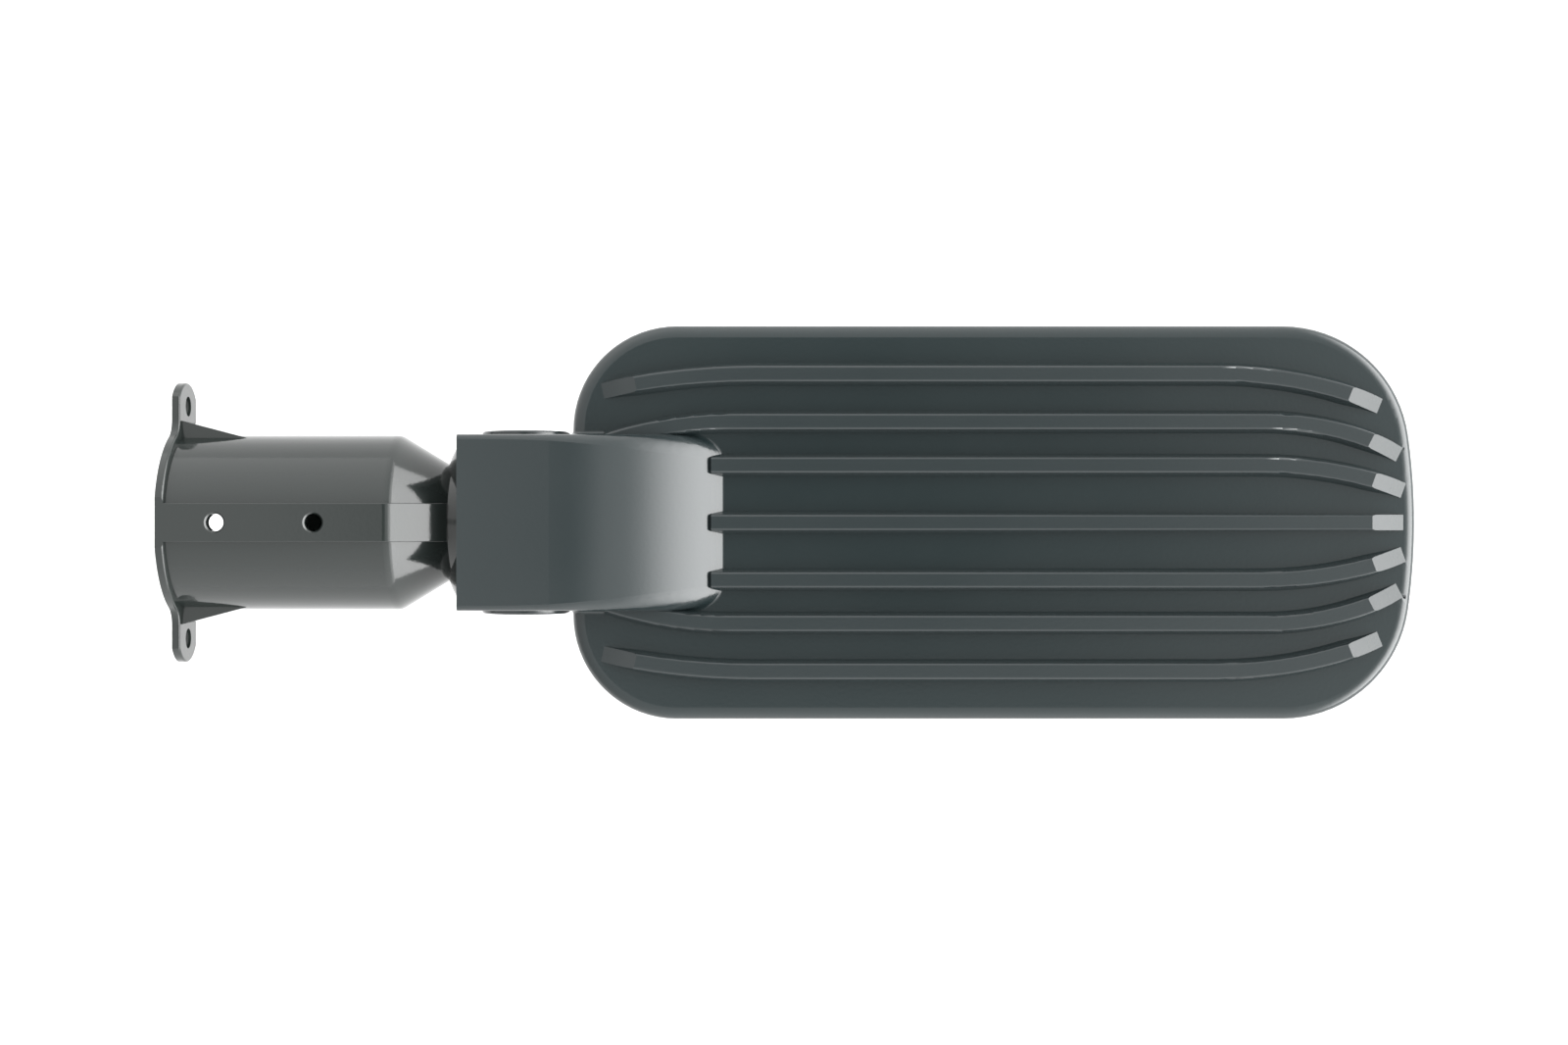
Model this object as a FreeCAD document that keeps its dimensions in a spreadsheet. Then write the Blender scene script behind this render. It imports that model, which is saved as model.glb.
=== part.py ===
import FreeCAD, Part
import math
import os
import Sketcher

# LED street light head: a finned die-cast head with a blended arm hump, tilting on a drum-shaped
# knuckle at the end of a pole and wall adaptor.
# Millimetres. The origin is the centre of the pole socket's mouth, +X runs from the pole to the
# head and +Z is up. The light leaves downwards.

SIZES = {
    # Adaptor: tube, flange, ears and gussets
    "socket_diameter": 62.0,
    "socket_depth": 85.0,
    "tube_wall": 4.0,
    "tube_length": 89.2,
    "flange_thickness": 3.2,
    "flange_lip": 2.5,
    "flange_edge_round": 0.8,
    "ear_hole_spacing": 93.0,
    "ear_hole_diameter": 8.0,
    "ear_past_hole": 9.5,
    "ear_half_width": 12.2,
    "ear_tip_radius": 15.3,
    "ear_root_round": 8.0,
    "gusset_thickness": 20.0,
    "gusset_length": 20.5,
    "gusset_height": 5.4,
    # Adaptor: flat band with two set-screw holes, cable notch
    "band_width": 15.0,
    "band_rise": 1.2,
    "band_edge_round": 0.4,
    "set_screw_bore": 6.8,
    "set_screw_chamfer": 0.6,
    "set_screw_first": 23.0,
    "set_screw_pitch": 37.9,
    "notch_width": 16.0,
    "notch_length": 14.0,
    "notch_corner": 5.0,
    # Adaptor: cone, neck and knuckle drum
    "cone_length": 21.2,
    "cone_edge_round": 6.0,
    "neck_radius": 22.0,
    "neck_wall": 5.0,
    "socket_shoulder": 4.0,
    "neck_lead": 2.0,
    "drum_radius": 30.9,
    "drum_half_length": 29.3,
    "drum_crown_length": 10.0,
    "drum_crown_drop": 3.1,
    "drum_wall": 4.5,
    "drum_end_wall": 5.3,
    "drum_hollow_corner": 2.0,
    "drum_lap": 2.5,
    "bolt_sleeve_radius": 8.0,
    "window_half_width": 13.0,
    "window_top": 9.0,
    "window_back": 13.5,
    "window_sleeve_wall": 4.0,
    # Knuckle gaps and tilt bolt
    "drum_gap": 1.0,
    "fork_gap": 0.3,
    "neck_swing_gap": 4.2,
    "bolt_diameter": 8.0,
    "bolt_running_gap": 0.06,
    "bolt_head_radius": 7.0,
    "bolt_head_height": 4.2,
    "bolt_head_round": 1.8,
    "bolt_socket_across": 5.0,
    "bolt_socket_depth": 2.6,
    "bolt_tip_chamfer": 0.8,
    "nut_sink": 0.2,
    "nut_across": 13.0,
    "nut_height": 4.0,
    "nut_slack": 0.15,
    "boss_radius": 17.5,
    "boss_rise": 0.9,
    "boss_chamfer": 0.6,
    # Arm block and hump
    "arm_start": 116.0,
    "arm_top": 35.4,
    "arm_top_half_width": 34.0,
    "arm_middle_half_width": 35.4,
    "arm_bottom_half_width": 34.4,
    "arm_flat_end": 151.6,
    "hump_end": 218.0,
    "hump_tail": 8.0,
    "arm_nose_round": 20.0,
    "arm_edge_round_start": 2.0,
    "arm_edge_round_middle": 2.6,
    "arm_edge_round_end": 11.5,
    "arm_foot_round": 1.3,
    "arm_roof": 3.5,
    "hump_hollow_half_width": 27.0,
    # Head plate
    "head_start": 158.5,
    "head_end": 492.5,
    "head_half_width": 78.0,
    "head_left_corner": 41.2,
    "head_right_corner": 50.4,
    "head_end_bow": 248.0,
    "deck_top": 13.0,
    "deck_wall": 3.5,
    "rim_bottom": -10.0,
    "head_draft": 1.5,
    "deck_edge_round": 5.0,
    "rim_edge_round": 1.0,
    # Ribs
    "rib_height": 5.0,
    "rib_base_width": 9.0,
    "rib_top_width": 6.0,
    "rib_edge_round": 1.0,
    "rib_ramp_length": 13.5,
    "rib_sink": 1.0,
    "rib_end_round": 2.2,
    "rib_tool_past": 0.3,
    "rib_hump_overlap": 4.5,
    "inner_rib_offset": 22.6,
    "inner_rib_end_gap": 5.5,
    "inner_rib_end_run": 56.7,
    "inner_rib_end_radius": 165.8,
    "middle_rib_offset": 39.7,
    "middle_rib_start_gap": 14.0,
    "middle_rib_start_run": 48.5,
    "middle_rib_start_radius": 154.0,
    "middle_rib_end_gap": 7.1,
    "middle_rib_end_run": 53.1,
    "middle_rib_end_radius": 115.7,
    "outer_rib_offset": 58.5,
    "outer_rib_start_gap": 12.0,
    "outer_rib_start_run": 60.1,
    "outer_rib_start_radius": 277.5,
    "outer_rib_end_gap": 14.8,
    "outer_rib_end_run": 64.7,
    "outer_rib_end_radius": 173.4,
    # Driver box below the arm
    "box_inset": 5.0,
    "box_end": 266.0,
    "box_end_corner": 8.0,
    "box_bottom": -28.0,
    "box_wall": 3.0,
    "bay_left_corner": 24.0,
    "bay_right_corner": 5.0,
    "fork_wall": 3.3,
    "post_radius": 4.5,
    "post_rise": 1.0,
    "cover_screw_inset": 8.0,
    "cover_screw_depth": 12.0,
    "corner_post_inset": 5.0,
    "middle_post_shift": 5.0,
    "end_post_inset": 1.0,
    "cover_thickness": 2.5,
    "cover_inset": 2.4,
    "cover_edge_round": 1.0,
    "gasket_width": 2.2,
    "gasket_setback": 0.3,
    # LED bay
    "bay_divider": 5.0,
    "led_wall": 6.5,
    "led_left_corner": 6.0,
    "ledge_width": 12.0,
    "ledge_height": 6.0,
    "lens_thickness": 3.0,
    "lens_gap": 0.8,
    "lens_gasket_thickness": 1.0,
    "lens_gasket_width": 3.0,
    "lens_screw_start": 18.0,
    "lens_screw_finish": 50.0,
    "lens_screw_bow_inset": 2.0,
    "lens_end_screw_offset": 29.5,
    "dome_radius": 8.5,
    "dome_height": 4.0,
    "dome_sink": 0.5,
    "dome_shift": 1.5,
    "dome_pitch_x": 23.0,
    "dome_pitch_y": 30.0,
    "board_thickness": 1.6,
    "board_gap": 2.0,
    "chip_length": 5.0,
    "chip_width": 5.0,
    "chip_height": 0.7,
    # Driver bay fittings
    "driver_width": 50.0,
    "driver_end_gap": 3.0,
    "driver_height": 29.0,
    "tab_length": 8.5,
    "tab_thickness": 2.5,
    "tab_lap": 2.0,
    "driver_start": 206.0,
    "seat_boss_radius": 4.5,
    "seat_boss_height": 4.0,
    "seat_roof": 1.5,
    "driver_corner": 2.0,
    "fitting_start": 180.0,
    "fitting_gap": 1.5,
    "fitting_length": 19.0,
    "fitting_corner": 1.5,
    "terminal_width": 16.0,
    "terminal_height": 14.0,
    "terminal_well_radius": 2.3,
    "terminal_well_depth": 4.0,
    "terminal_entry": 4.0,
    "clamp_slot_width": 0.7,
    "clamp_slot_depth": 0.8,
    "surge_width": 20.0,
    "surge_height": 18.0,
    "earth_gap": 0.5,
    "earth_washer_thickness": 1.0,
    "gland_drop": 8.0,
    "gland_thread": 16.0,
    "gland_boss_radius": 12.0,
    "gland_boss_length": 4.0,
    "gland_hex_across": 20.0,
    "gland_hex_length": 4.5,
    "gland_bore": 10.0,
    "gland_cup_wall": 1.5,
    "gland_setback": 0.3,
    "gland_nut_gap": 0.4,
    "gland_crown_gap": 0.5,
    "gland_crown_round": 3.0,
    "gland_nut_length": 13.0,
    "cable_diameter": 8.0,
    "grommet_hole": 4.0,
    "grommet_flange_radius": 3.1,
    "grommet_flange": 1.5,
    "wire_bore": 2.4,
    "wire_drop": 3.2,
    "breather_drop": 18.5,
    "breather_hole": 12.0,
    "breather_head_radius": 7.5,
    "breather_head_height": 3.5,
    "breather_edge_round": 1.0,
    "breather_stem_past": 2.0,
    "breather_to_post": 1.0,
    # Small screws
    "screw_diameter": 4.0,
    "screw_head_radius": 3.6,
    "screw_head_height": 2.4,
    "screw_socket_across": 2.5,
    "screw_socket_depth": 1.3,
    "board_screw_diameter": 3.0,
    "board_screw_head_radius": 2.8,
    "board_screw_head_height": 1.8,
    "board_screw_socket_across": 2.0,
    "board_screw_socket_depth": 1.0,
    "board_screw_past": 1.0,
    "thread_slack": 0.05,
    "hole_slack": 0.4,
    "screw_hole_spare": 1.0,
}

LED_COLUMNS = 8
LED_ROWS = 4
TERMINAL_POLES = 3

# How far a cutting tool runs past the surface that it cuts
PAST = 1.0

# How closely two lengths agree where an edge is found by its place
SLACK = 0.02

doc = FreeCAD.newDocument("street_light_head")
sheet = doc.addObject("Spreadsheet::Sheet", "Sizes")
Y_AXIS = FreeCAD.Vector(0, 1, 0)
Z_AXIS = FreeCAD.Vector(0, 0, 1)


# Sizes that remember their formula

class Size(float):
    """A number that also holds its formula in the words of the sheet."""

    def __new__(cls, value, text):
        size = super().__new__(cls, value)
        size.text = text
        return size

    def __add__(self, other):
        return Size(float(self) + float(other), f"({self.text} + {words(other)})")

    def __radd__(self, other):
        return Size(float(other) + float(self), f"({words(other)} + {self.text})")

    def __sub__(self, other):
        return Size(float(self) - float(other), f"({self.text} - {words(other)})")

    def __rsub__(self, other):
        return Size(float(other) - float(self), f"({words(other)} - {self.text})")

    def __mul__(self, other):
        return Size(float(self) * float(other), f"({self.text} * {words(other)})")

    def __rmul__(self, other):
        return Size(float(other) * float(self), f"({words(other)} * {self.text})")

    def __truediv__(self, other):
        return Size(float(self) / float(other), f"({self.text} / {words(other)})")

    def __neg__(self):
        return Size(-float(self), f"(-{self.text})")


def words(value):
    """Give the formula of a size, or the digits of a plain number."""
    return value.text if isinstance(value, Size) else f"{float(value):.9g}"


def root(value):
    """Square root, kept as a formula."""
    return Size(math.sqrt(value), f"sqrt({words(value)})")


class Values:
    """The sheet's sizes, read as attributes."""


def fill_sheet():
    """Write every driving size into the sheet and give back their named values."""
    values = Values()
    for row, (alias, number) in enumerate(SIZES.items(), start=1):
        sheet.set(f"A{row}", alias.replace("_", " "))
        sheet.set(f"B{row}", str(number))
        sheet.setAlias(f"B{row}", alias)
        setattr(values, alias, Size(number, f"Sizes.{alias}"))
    doc.recompute()
    return values


d = fill_sheet()


# Tools for sketches and features

def bind(thing, prop, value):
    """Tie a property to the sheet, or set it when the value is a plain number."""
    if isinstance(value, Size):
        thing.setExpression(prop, value.text)
    else:
        setattr(thing, prop, value)


def place(thing, x=0, y=0, z=0):
    """Set a placement that is tied to the sheet."""
    thing.Placement = FreeCAD.Placement(FreeCAD.Vector(float(x), float(y), float(z)), FreeCAD.Rotation())
    for letter, value in (("x", x), ("y", y), ("z", z)):
        if isinstance(value, Size):
            thing.setExpression(f".Placement.Base.{letter}", value.text)
    return thing


def new_body(label):
    """Start a body whose label names its sub-part."""
    body = doc.addObject("PartDesign::Body", label)
    body.Label = label
    return body


def new_sketch(body, name, plane, lift=0):
    """Start a sketch on one of the body's own origin planes, lifted along its normal."""
    sketch = body.newObject("Sketcher::SketchObject", name)
    support = next(item for item in body.Origin.OriginFeatures if item.Role == f"{plane}_Plane")
    sketch.AttachmentSupport = [(support, "")]
    sketch.MapMode = "FlatFace"
    sketch.AttachmentOffset = FreeCAD.Placement(FreeCAD.Vector(0, 0, float(lift)), FreeCAD.Rotation())
    if isinstance(lift, Size):
        sketch.setExpression(".AttachmentOffset.Base.z", lift.text)
    return sketch


def fix_point(sketch, item, end, u, v):
    """Tie one end of a sketch line or arc to its place."""
    for kind, value, axis in (("DistanceX", u, -2), ("DistanceY", v, -1)):
        if abs(float(value)) < 1e-9:
            sketch.addConstraint(Sketcher.Constraint("PointOnObject", item, end, axis))
            continue
        rule = sketch.addConstraint(Sketcher.Constraint(kind, -1, 1, item, end, float(value)))
        if isinstance(value, Size):
            sketch.setExpression(f"Constraints[{rule}]", value.text)


def fix_radius(sketch, item, radius):
    """Tie the radius of a sketch arc or circle to its size."""
    rule = sketch.addConstraint(Sketcher.Constraint("Radius", item, float(radius)))
    if isinstance(radius, Size):
        sketch.setExpression(f"Constraints[{rule}]", radius.text)


def arc_between(start, end, radius):
    """Make the short arc from start to end: it turns left for a positive radius, else right."""
    u0, v0 = float(start[0]), float(start[1])
    u1, v1 = float(end[0]), float(end[1])
    reach = abs(float(radius))
    chord = math.hypot(u1 - u0, v1 - v0)
    rise = math.sqrt(max(reach ** 2 - (chord / 2) ** 2, 0.0))
    side = math.copysign(rise / chord, float(radius))
    centre = FreeCAD.Vector((u0 + u1) / 2 - (v1 - v0) * side, (v0 + v1) / 2 + (u1 - u0) * side, 0)
    first = math.atan2(v0 - centre.y, u0 - centre.x)
    last = math.atan2(v1 - centre.y, u1 - centre.x)
    if radius < 0:
        first, last = last, first
    if last < first:
        last += 2 * math.pi
    return Part.ArcOfCircle(Part.Circle(centre, Z_AXIS, reach), first, last)


def draw_loop(sketch, corners):
    """Draw a closed loop. A corner is (u, v), or (u, v, radius) where an arc leads to it."""
    ends = []
    for index, corner in enumerate(corners):
        before = corners[index - 1]
        if len(corner) == 3:
            item = sketch.addGeometry(arc_between(before, corner, corner[2]), False)
            ends.append((item, 1, 2) if corner[2] > 0 else (item, 2, 1))
        else:
            start = FreeCAD.Vector(float(before[0]), float(before[1]), 0)
            stop = FreeCAD.Vector(float(corner[0]), float(corner[1]), 0)
            item = sketch.addGeometry(Part.LineSegment(start, stop), False)
            ends.append((item, 1, 2))
    for index, corner in enumerate(corners):
        item, _, finish = ends[index]
        following, start, _ = ends[(index + 1) % len(corners)]
        sketch.addConstraint(Sketcher.Constraint("Coincident", item, finish, following, start))
        fix_point(sketch, item, finish, corner[0], corner[1])
        if len(corner) == 3:
            fix_radius(sketch, item, corner[2] if corner[2] > 0 else -corner[2])


def draw_circle(sketch, u, v, radius):
    """Draw a circle tied to its centre and radius."""
    centre = FreeCAD.Vector(float(u), float(v), 0)
    item = sketch.addGeometry(Part.Circle(centre, Z_AXIS, float(radius)), False)
    fix_point(sketch, item, 3, u, v)
    fix_radius(sketch, item, radius)


def loop_sketch(body, name, plane, loops, lift=0):
    """Make a sketch of closed loops."""
    sketch = new_sketch(body, name, plane, lift)
    for corners in loops:
        draw_loop(sketch, corners)
    return sketch


def circle_sketch(body, name, plane, circles, lift=0):
    """Make a sketch of circles, each (u, v, radius)."""
    sketch = new_sketch(body, name, plane, lift)
    for u, v, radius in circles:
        draw_circle(sketch, u, v, radius)
    return sketch


def extrude(kind, body, sketch, length, both=False, reverse=False, taper=None):
    """Pad or pocket a sketch by a length."""
    feature = body.newObject(f"PartDesign::{kind}", f"{sketch.Name}_{kind.lower()}")
    feature.Profile = sketch
    bind(feature, "Length", length)
    feature.Midplane = both
    feature.Reversed = reverse
    if taper is not None:
        bind(feature, "TaperAngle", taper)
    doc.recompute()
    return feature


def pad(body, sketch, length, **how):
    """Add the sketch's prism."""
    return extrude("Pad", body, sketch, length, **how)


def pocket(body, sketch, length, **how):
    """Cut the sketch's prism."""
    return extrude("Pocket", body, sketch, length, **how)


def turn(kind, body, sketch, axis):
    """Revolve or groove a sketch once round a sketch axis, H_Axis or V_Axis."""
    feature = body.newObject(f"PartDesign::{kind}", f"{sketch.Name}_{kind.lower()}")
    feature.Profile = sketch
    feature.ReferenceAxis = (sketch, [axis])
    feature.Angle = 360
    doc.recompute()
    return feature


def edge_names(shape, test):
    """Name the edges of a shape that pass a test."""
    return [f"Edge{number}" for number, edge in enumerate(shape.Edges, start=1) if test(edge)]


def round_edges(body, base, test, radius, kind="Fillet"):
    """Fillet or chamfer the body's edges that pass a test."""
    feature = body.newObject(f"PartDesign::{kind}", f"{base.Name}_{kind.lower()}")
    feature.Base = (base, edge_names(base.Shape, test))
    bind(feature, "Radius" if kind == "Fillet" else "Size", radius)
    doc.recompute()
    return feature


def near(value, target, slack=SLACK):
    """Tell whether two numbers agree."""
    return abs(float(value) - float(target)) < slack


def level_at(edge, z):
    """Tell whether an edge lies in the level plane at z."""
    return near(edge.BoundBox.ZMin, z) and near(edge.BoundBox.ZMax, z)


def cylinder(name, radius, length, x, y, z):
    """Make a cylinder that stands on its base point."""
    rod = doc.addObject("Part::Cylinder", name)
    bind(rod, "Radius", radius)
    bind(rod, "Height", length)
    return place(rod, x, y, z)


def block(name, corner, lengths):
    """Make a box from its low corner and its three lengths."""
    box = doc.addObject("Part::Box", name)
    for prop, value in zip(("Length", "Width", "Height"), lengths):
        bind(box, prop, value)
    return place(box, *corner)


def fuse(label, pieces):
    """Join pieces into one solid."""
    joined = doc.addObject("Part::MultiFuse", label)
    joined.Label = label
    joined.Shapes = pieces
    joined.Refine = True
    doc.recompute()
    return joined


def cut(label, base, tool):
    """Cut one piece by another."""
    result = doc.addObject("Part::Cut", label)
    result.Label = label
    result.Base = base
    result.Tool = tool
    result.Refine = True
    doc.recompute()
    return result


def group(label, pieces):
    """Keep like pieces together as separate solids of one sub-part."""
    bundle = doc.addObject("Part::Compound", label)
    bundle.Label = label
    bundle.Links = pieces
    doc.recompute()
    return bundle


def feature_of(label, shape):
    """Hold a shape that was worked out with Part's own functions."""
    feature = doc.addObject("Part::Feature", label)
    feature.Label = label
    feature.Shape = shape
    feature.Placement = FreeCAD.Placement()
    return feature


# Places worked out from the driving sizes

socket_radius = d.socket_diameter / 2
tube_radius = socket_radius + d.tube_wall
flange_radius = tube_radius + d.flange_lip
band_top = tube_radius + d.band_rise
cone_end = d.tube_length + d.cone_length
pivot_x = cone_end + d.drum_radius - d.drum_lap
cone_drop = tube_radius - d.neck_radius
cone_slant = root(d.cone_length * d.cone_length + cone_drop * cone_drop)
cavity_radius = d.drum_radius + d.drum_gap
fork_half_width = d.drum_half_length + d.fork_gap
boss_face = d.arm_middle_half_width + d.boss_rise
deck_bottom = d.deck_top - d.deck_wall
bay_start = pivot_x + cavity_radius + d.fork_wall
bay_end = d.box_end - d.box_wall
box_start = d.head_start + d.box_inset
box_half_width = d.head_half_width - d.box_inset
bay_half_width = box_half_width - d.box_wall
cover_top = d.box_bottom - d.post_rise
cover_bottom = cover_top - d.cover_thickness
post_inner_y = box_half_width - d.cover_screw_inset - d.post_radius
driver_half_length = post_inner_y - d.driver_end_gap - d.tab_length
fitting_outer_y = post_inner_y - d.corner_post_inset - d.fitting_gap - d.tab_length
fitting_inner_y = fitting_outer_y - d.fitting_length
gland_seat = bay_start + d.gland_boss_length
gland_cup = gland_seat + d.gland_hex_length / 2
led_start = d.box_end + d.bay_divider
ledge_bottom = deck_bottom - d.ledge_height
lens_top = ledge_bottom - d.lens_gasket_thickness
lens_bottom = lens_top - d.lens_thickness
lens_screw_grip = d.lens_thickness + d.lens_gasket_thickness
hump_radius_of_arc = ((d.hump_end - d.arm_flat_end) * (d.hump_end - d.arm_flat_end)
                      + (d.arm_top - d.deck_top) * (d.arm_top - d.deck_top)) / (2 * (d.arm_top - d.deck_top))
hump_centre_z = d.arm_top - hump_radius_of_arc


def head_loop(inset, start, start_corner):
    """Outline of the head seen from above, drawn inset, with its bowed far end."""
    half = d.head_half_width - inset
    corner = d.head_right_corner - inset
    bow = d.head_end_bow - inset
    bow_centre = d.head_end - d.head_end_bow
    corner_x = bow_centre + root((bow - corner) * (bow - corner) - (half - corner) * (half - corner))
    share = bow / (bow - corner)
    touch_x = bow_centre + (corner_x - bow_centre) * share
    touch_y = (half - corner) * share
    return [
        (start + start_corner, -half, start_corner),
        (corner_x, -half),
        (touch_x, -touch_y, corner),
        (touch_x, touch_y, bow),
        (corner_x, half, corner),
        (start + start_corner, half),
        (start, half - start_corner, start_corner),
        (start, start_corner - half),
    ]


def bay_loop(start, end, half, start_corner, end_corner):
    """Rounded rectangle seen from above, with its own corner radius at each end."""
    return [
        (start + start_corner, -half, start_corner),
        (end - end_corner, -half),
        (end, end_corner - half, end_corner),
        (end, half - end_corner),
        (end - end_corner, half, end_corner),
        (start + start_corner, half),
        (start, half - start_corner, start_corner),
        (start, start_corner - half),
    ]


# Adaptor casting

def make_adaptor():
    """Flange with ears, tube, cone and knuckle drum, cast in one piece."""
    body = new_body("adaptor")
    bend = d.cone_edge_round * (cone_slant - d.cone_length) / cone_drop
    bend_end = d.tube_length + bend * d.cone_length / cone_slant
    bend_drop = bend * cone_drop / cone_slant
    band = loop_sketch(body, "band_profile", "XZ", [[
        (0, socket_radius), (0, band_top), (d.tube_length - bend, band_top),
        (bend_end, band_top - bend_drop, -d.cone_edge_round), (cone_end, d.neck_radius + d.band_rise),
        (cone_end, d.neck_radius - d.neck_wall), (d.tube_length, socket_radius)]])
    raised = pad(body, band, d.band_width, both=True)
    round_edges(body, raised, band_top_edge, d.band_edge_round)

    turned = loop_sketch(body, "tube_profile", "XZ", [[
        (0, 0), (0, flange_radius), (d.flange_thickness, flange_radius), (d.flange_thickness, tube_radius),
        (d.tube_length - bend, tube_radius), (bend_end, tube_radius - bend_drop, -d.cone_edge_round),
        (cone_end, d.neck_radius), (pivot_x, d.neck_radius), (pivot_x, 0)]])
    turn("Revolution", body, turned, "H_Axis")

    ear_y = d.ear_hole_spacing / 2
    flank = d.ear_half_width
    bow = d.ear_tip_radius
    flank_end = ear_y + d.ear_past_hole - bow + root(bow * bow - flank * flank)
    for side, mark in ((1, "left"), (-1, "right")):
        ear = [(side * socket_radius, -flank), (side * flank_end, -flank),
               (side * flank_end, flank, side * bow), (side * socket_radius, flank)]
        pad(body, loop_sketch(body, f"ear_{mark}", "YZ", [ear]), d.flange_thickness)

    flowed = round_edges(body, body.Tip, lambda edge: ear_root_edge(edge, flange_radius), d.ear_root_round)
    round_edges(body, flowed, flange_front_edge, d.flange_edge_round)

    shave = loop_sketch(body, "flange_flat", "XZ", [[
        (-PAST, band_top), (d.flange_thickness + PAST, band_top),
        (d.flange_thickness + PAST, flange_radius + PAST), (-PAST, flange_radius + PAST)]])
    pocket(body, shave, 2 * flange_radius, both=True)

    overrun = 0.3
    web_end = d.flange_thickness + d.gusset_length * (1 + overrun)
    for side, mark in ((1, "left"), (-1, "right")):
        web = [(0, side * socket_radius), (0, side * (tube_radius + d.gusset_height)),
               (d.flange_thickness, side * (tube_radius + d.gusset_height)),
               (web_end, side * (tube_radius - d.gusset_height * overrun)), (web_end, side * socket_radius)]
        pad(body, loop_sketch(body, f"gusset_{mark}", "XY", [web]), d.gusset_thickness, both=True)

    crown_radius = ((d.drum_crown_length * d.drum_crown_length + d.drum_crown_drop * d.drum_crown_drop)
                    / (2 * d.drum_crown_drop))
    flat = d.drum_half_length - d.drum_crown_length
    end_radius = d.drum_radius - d.drum_crown_drop
    drum = loop_sketch(body, "drum_profile", "YZ", [[
        (-d.drum_half_length, 0), (-d.drum_half_length, end_radius), (-flat, d.drum_radius, -crown_radius),
        (flat, d.drum_radius), (d.drum_half_length, end_radius, -crown_radius),
        (d.drum_half_length, 0)]], pivot_x)
    turn("Revolution", body, drum, "H_Axis")

    bore = loop_sketch(body, "socket_profile", "XZ", [[
        (-PAST, 0), (-PAST, socket_radius), (d.socket_depth, socket_radius),
        (d.socket_depth, socket_radius - d.socket_shoulder),
        (cone_end - d.neck_lead, d.neck_radius - d.neck_wall),
        (pivot_x - d.bolt_sleeve_radius, d.neck_radius - d.neck_wall), (pivot_x - d.bolt_sleeve_radius, 0)]])
    turn("Groove", body, bore, "H_Axis")

    hollow_half = d.drum_half_length - d.drum_end_wall
    hollow_radius = d.drum_radius - d.drum_wall
    corner = d.drum_hollow_corner
    hollow = loop_sketch(body, "drum_hollow", "YZ", [[
        (-hollow_half, d.bolt_sleeve_radius), (-hollow_half, hollow_radius - corner),
        (corner - hollow_half, hollow_radius, -corner), (hollow_half - corner, hollow_radius),
        (hollow_half, hollow_radius - corner, -corner), (hollow_half, d.bolt_sleeve_radius)]], pivot_x)
    turn("Groove", body, hollow, "H_Axis")

    outside = d.drum_radius + PAST
    inside = d.bolt_sleeve_radius + d.window_sleeve_wall
    window = loop_sketch(body, "window_profile", "XZ", [[
        (pivot_x - d.window_back, -outside), (pivot_x + outside, -outside), (pivot_x + outside, d.window_top),
        (pivot_x + inside, d.window_top), (pivot_x + inside, -inside), (pivot_x - d.window_back, -inside)]])
    pocket(body, window, 2 * d.window_half_width, both=True)

    pin_hole = circle_sketch(body, "bolt_hole", "XZ",
                             [(pivot_x, 0, d.bolt_diameter / 2 + d.bolt_running_gap)])
    pocket(body, pin_hole, 2 * (d.drum_half_length + PAST), both=True)

    ears = circle_sketch(body, "ear_holes", "YZ",
                         [(ear_y, 0, d.ear_hole_diameter / 2), (-ear_y, 0, d.ear_hole_diameter / 2)], -PAST)
    pocket(body, ears, d.flange_thickness + 2 * PAST, reverse=True)

    second = d.set_screw_first + d.set_screw_pitch
    screws = circle_sketch(body, "set_screw_holes", "XY",
                           [(d.set_screw_first, 0, d.set_screw_bore / 2), (second, 0, d.set_screw_bore / 2)],
                           band_top)
    holes = pocket(body, screws, d.band_rise + d.tube_wall + PAST)
    round_edges(body, holes, lambda edge: level_at(edge, band_top) and round_of(edge, d.set_screw_bore / 2),
                d.set_screw_chamfer, "Chamfer")

    half_notch = d.notch_width / 2
    corner = d.notch_corner
    notch = loop_sketch(body, "cable_notch", "XY", [[
        (-PAST, -half_notch), (d.notch_length - corner, -half_notch),
        (d.notch_length, corner - half_notch, corner),
        (d.notch_length, half_notch - corner), (d.notch_length - corner, half_notch, corner),
        (-PAST, half_notch)]], -flange_radius - PAST)
    pocket(body, notch, flange_radius, reverse=True)
    return body


def round_of(edge, radius):
    """Tell whether an edge is a circle of a radius."""
    return hasattr(edge.Curve, "Radius") and near(edge.Curve.Radius, radius)


def middle_of(edge):
    """Give the point halfway along an edge."""
    return edge.valueAt((edge.FirstParameter + edge.LastParameter) / 2)


def flange_front_edge(edge):
    """Tell whether an edge is part of the outline of the flange's front face."""
    box = edge.BoundBox
    middle = middle_of(edge)
    level = near(box.XMin, d.flange_thickness) and near(box.XMax, d.flange_thickness)
    return level and math.hypot(middle.y, middle.z) > flange_radius - SLACK


def band_top_edge(edge):
    """Tell whether an edge runs along one of the band's two long top edges."""
    box = edge.BoundBox
    middle = middle_of(edge)
    fall = max(middle.x - d.tube_length, 0) * cone_drop / d.cone_length
    under = max(tube_radius - fall, d.neck_radius)
    return near(box.YLength, 0) and near(abs(box.YMin), d.band_width / 2) and middle.z > under


def ear_root_edge(edge, radius):
    """Tell whether an edge runs through the flange where an ear's flank meets the disc."""
    box = edge.BoundBox
    runs_through = box.XLength > 1 and box.YLength < 0.01 and box.ZLength < 0.01
    return runs_through and near(math.hypot(box.YMin, box.ZMin), radius, 0.05)


# Head housing

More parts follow.
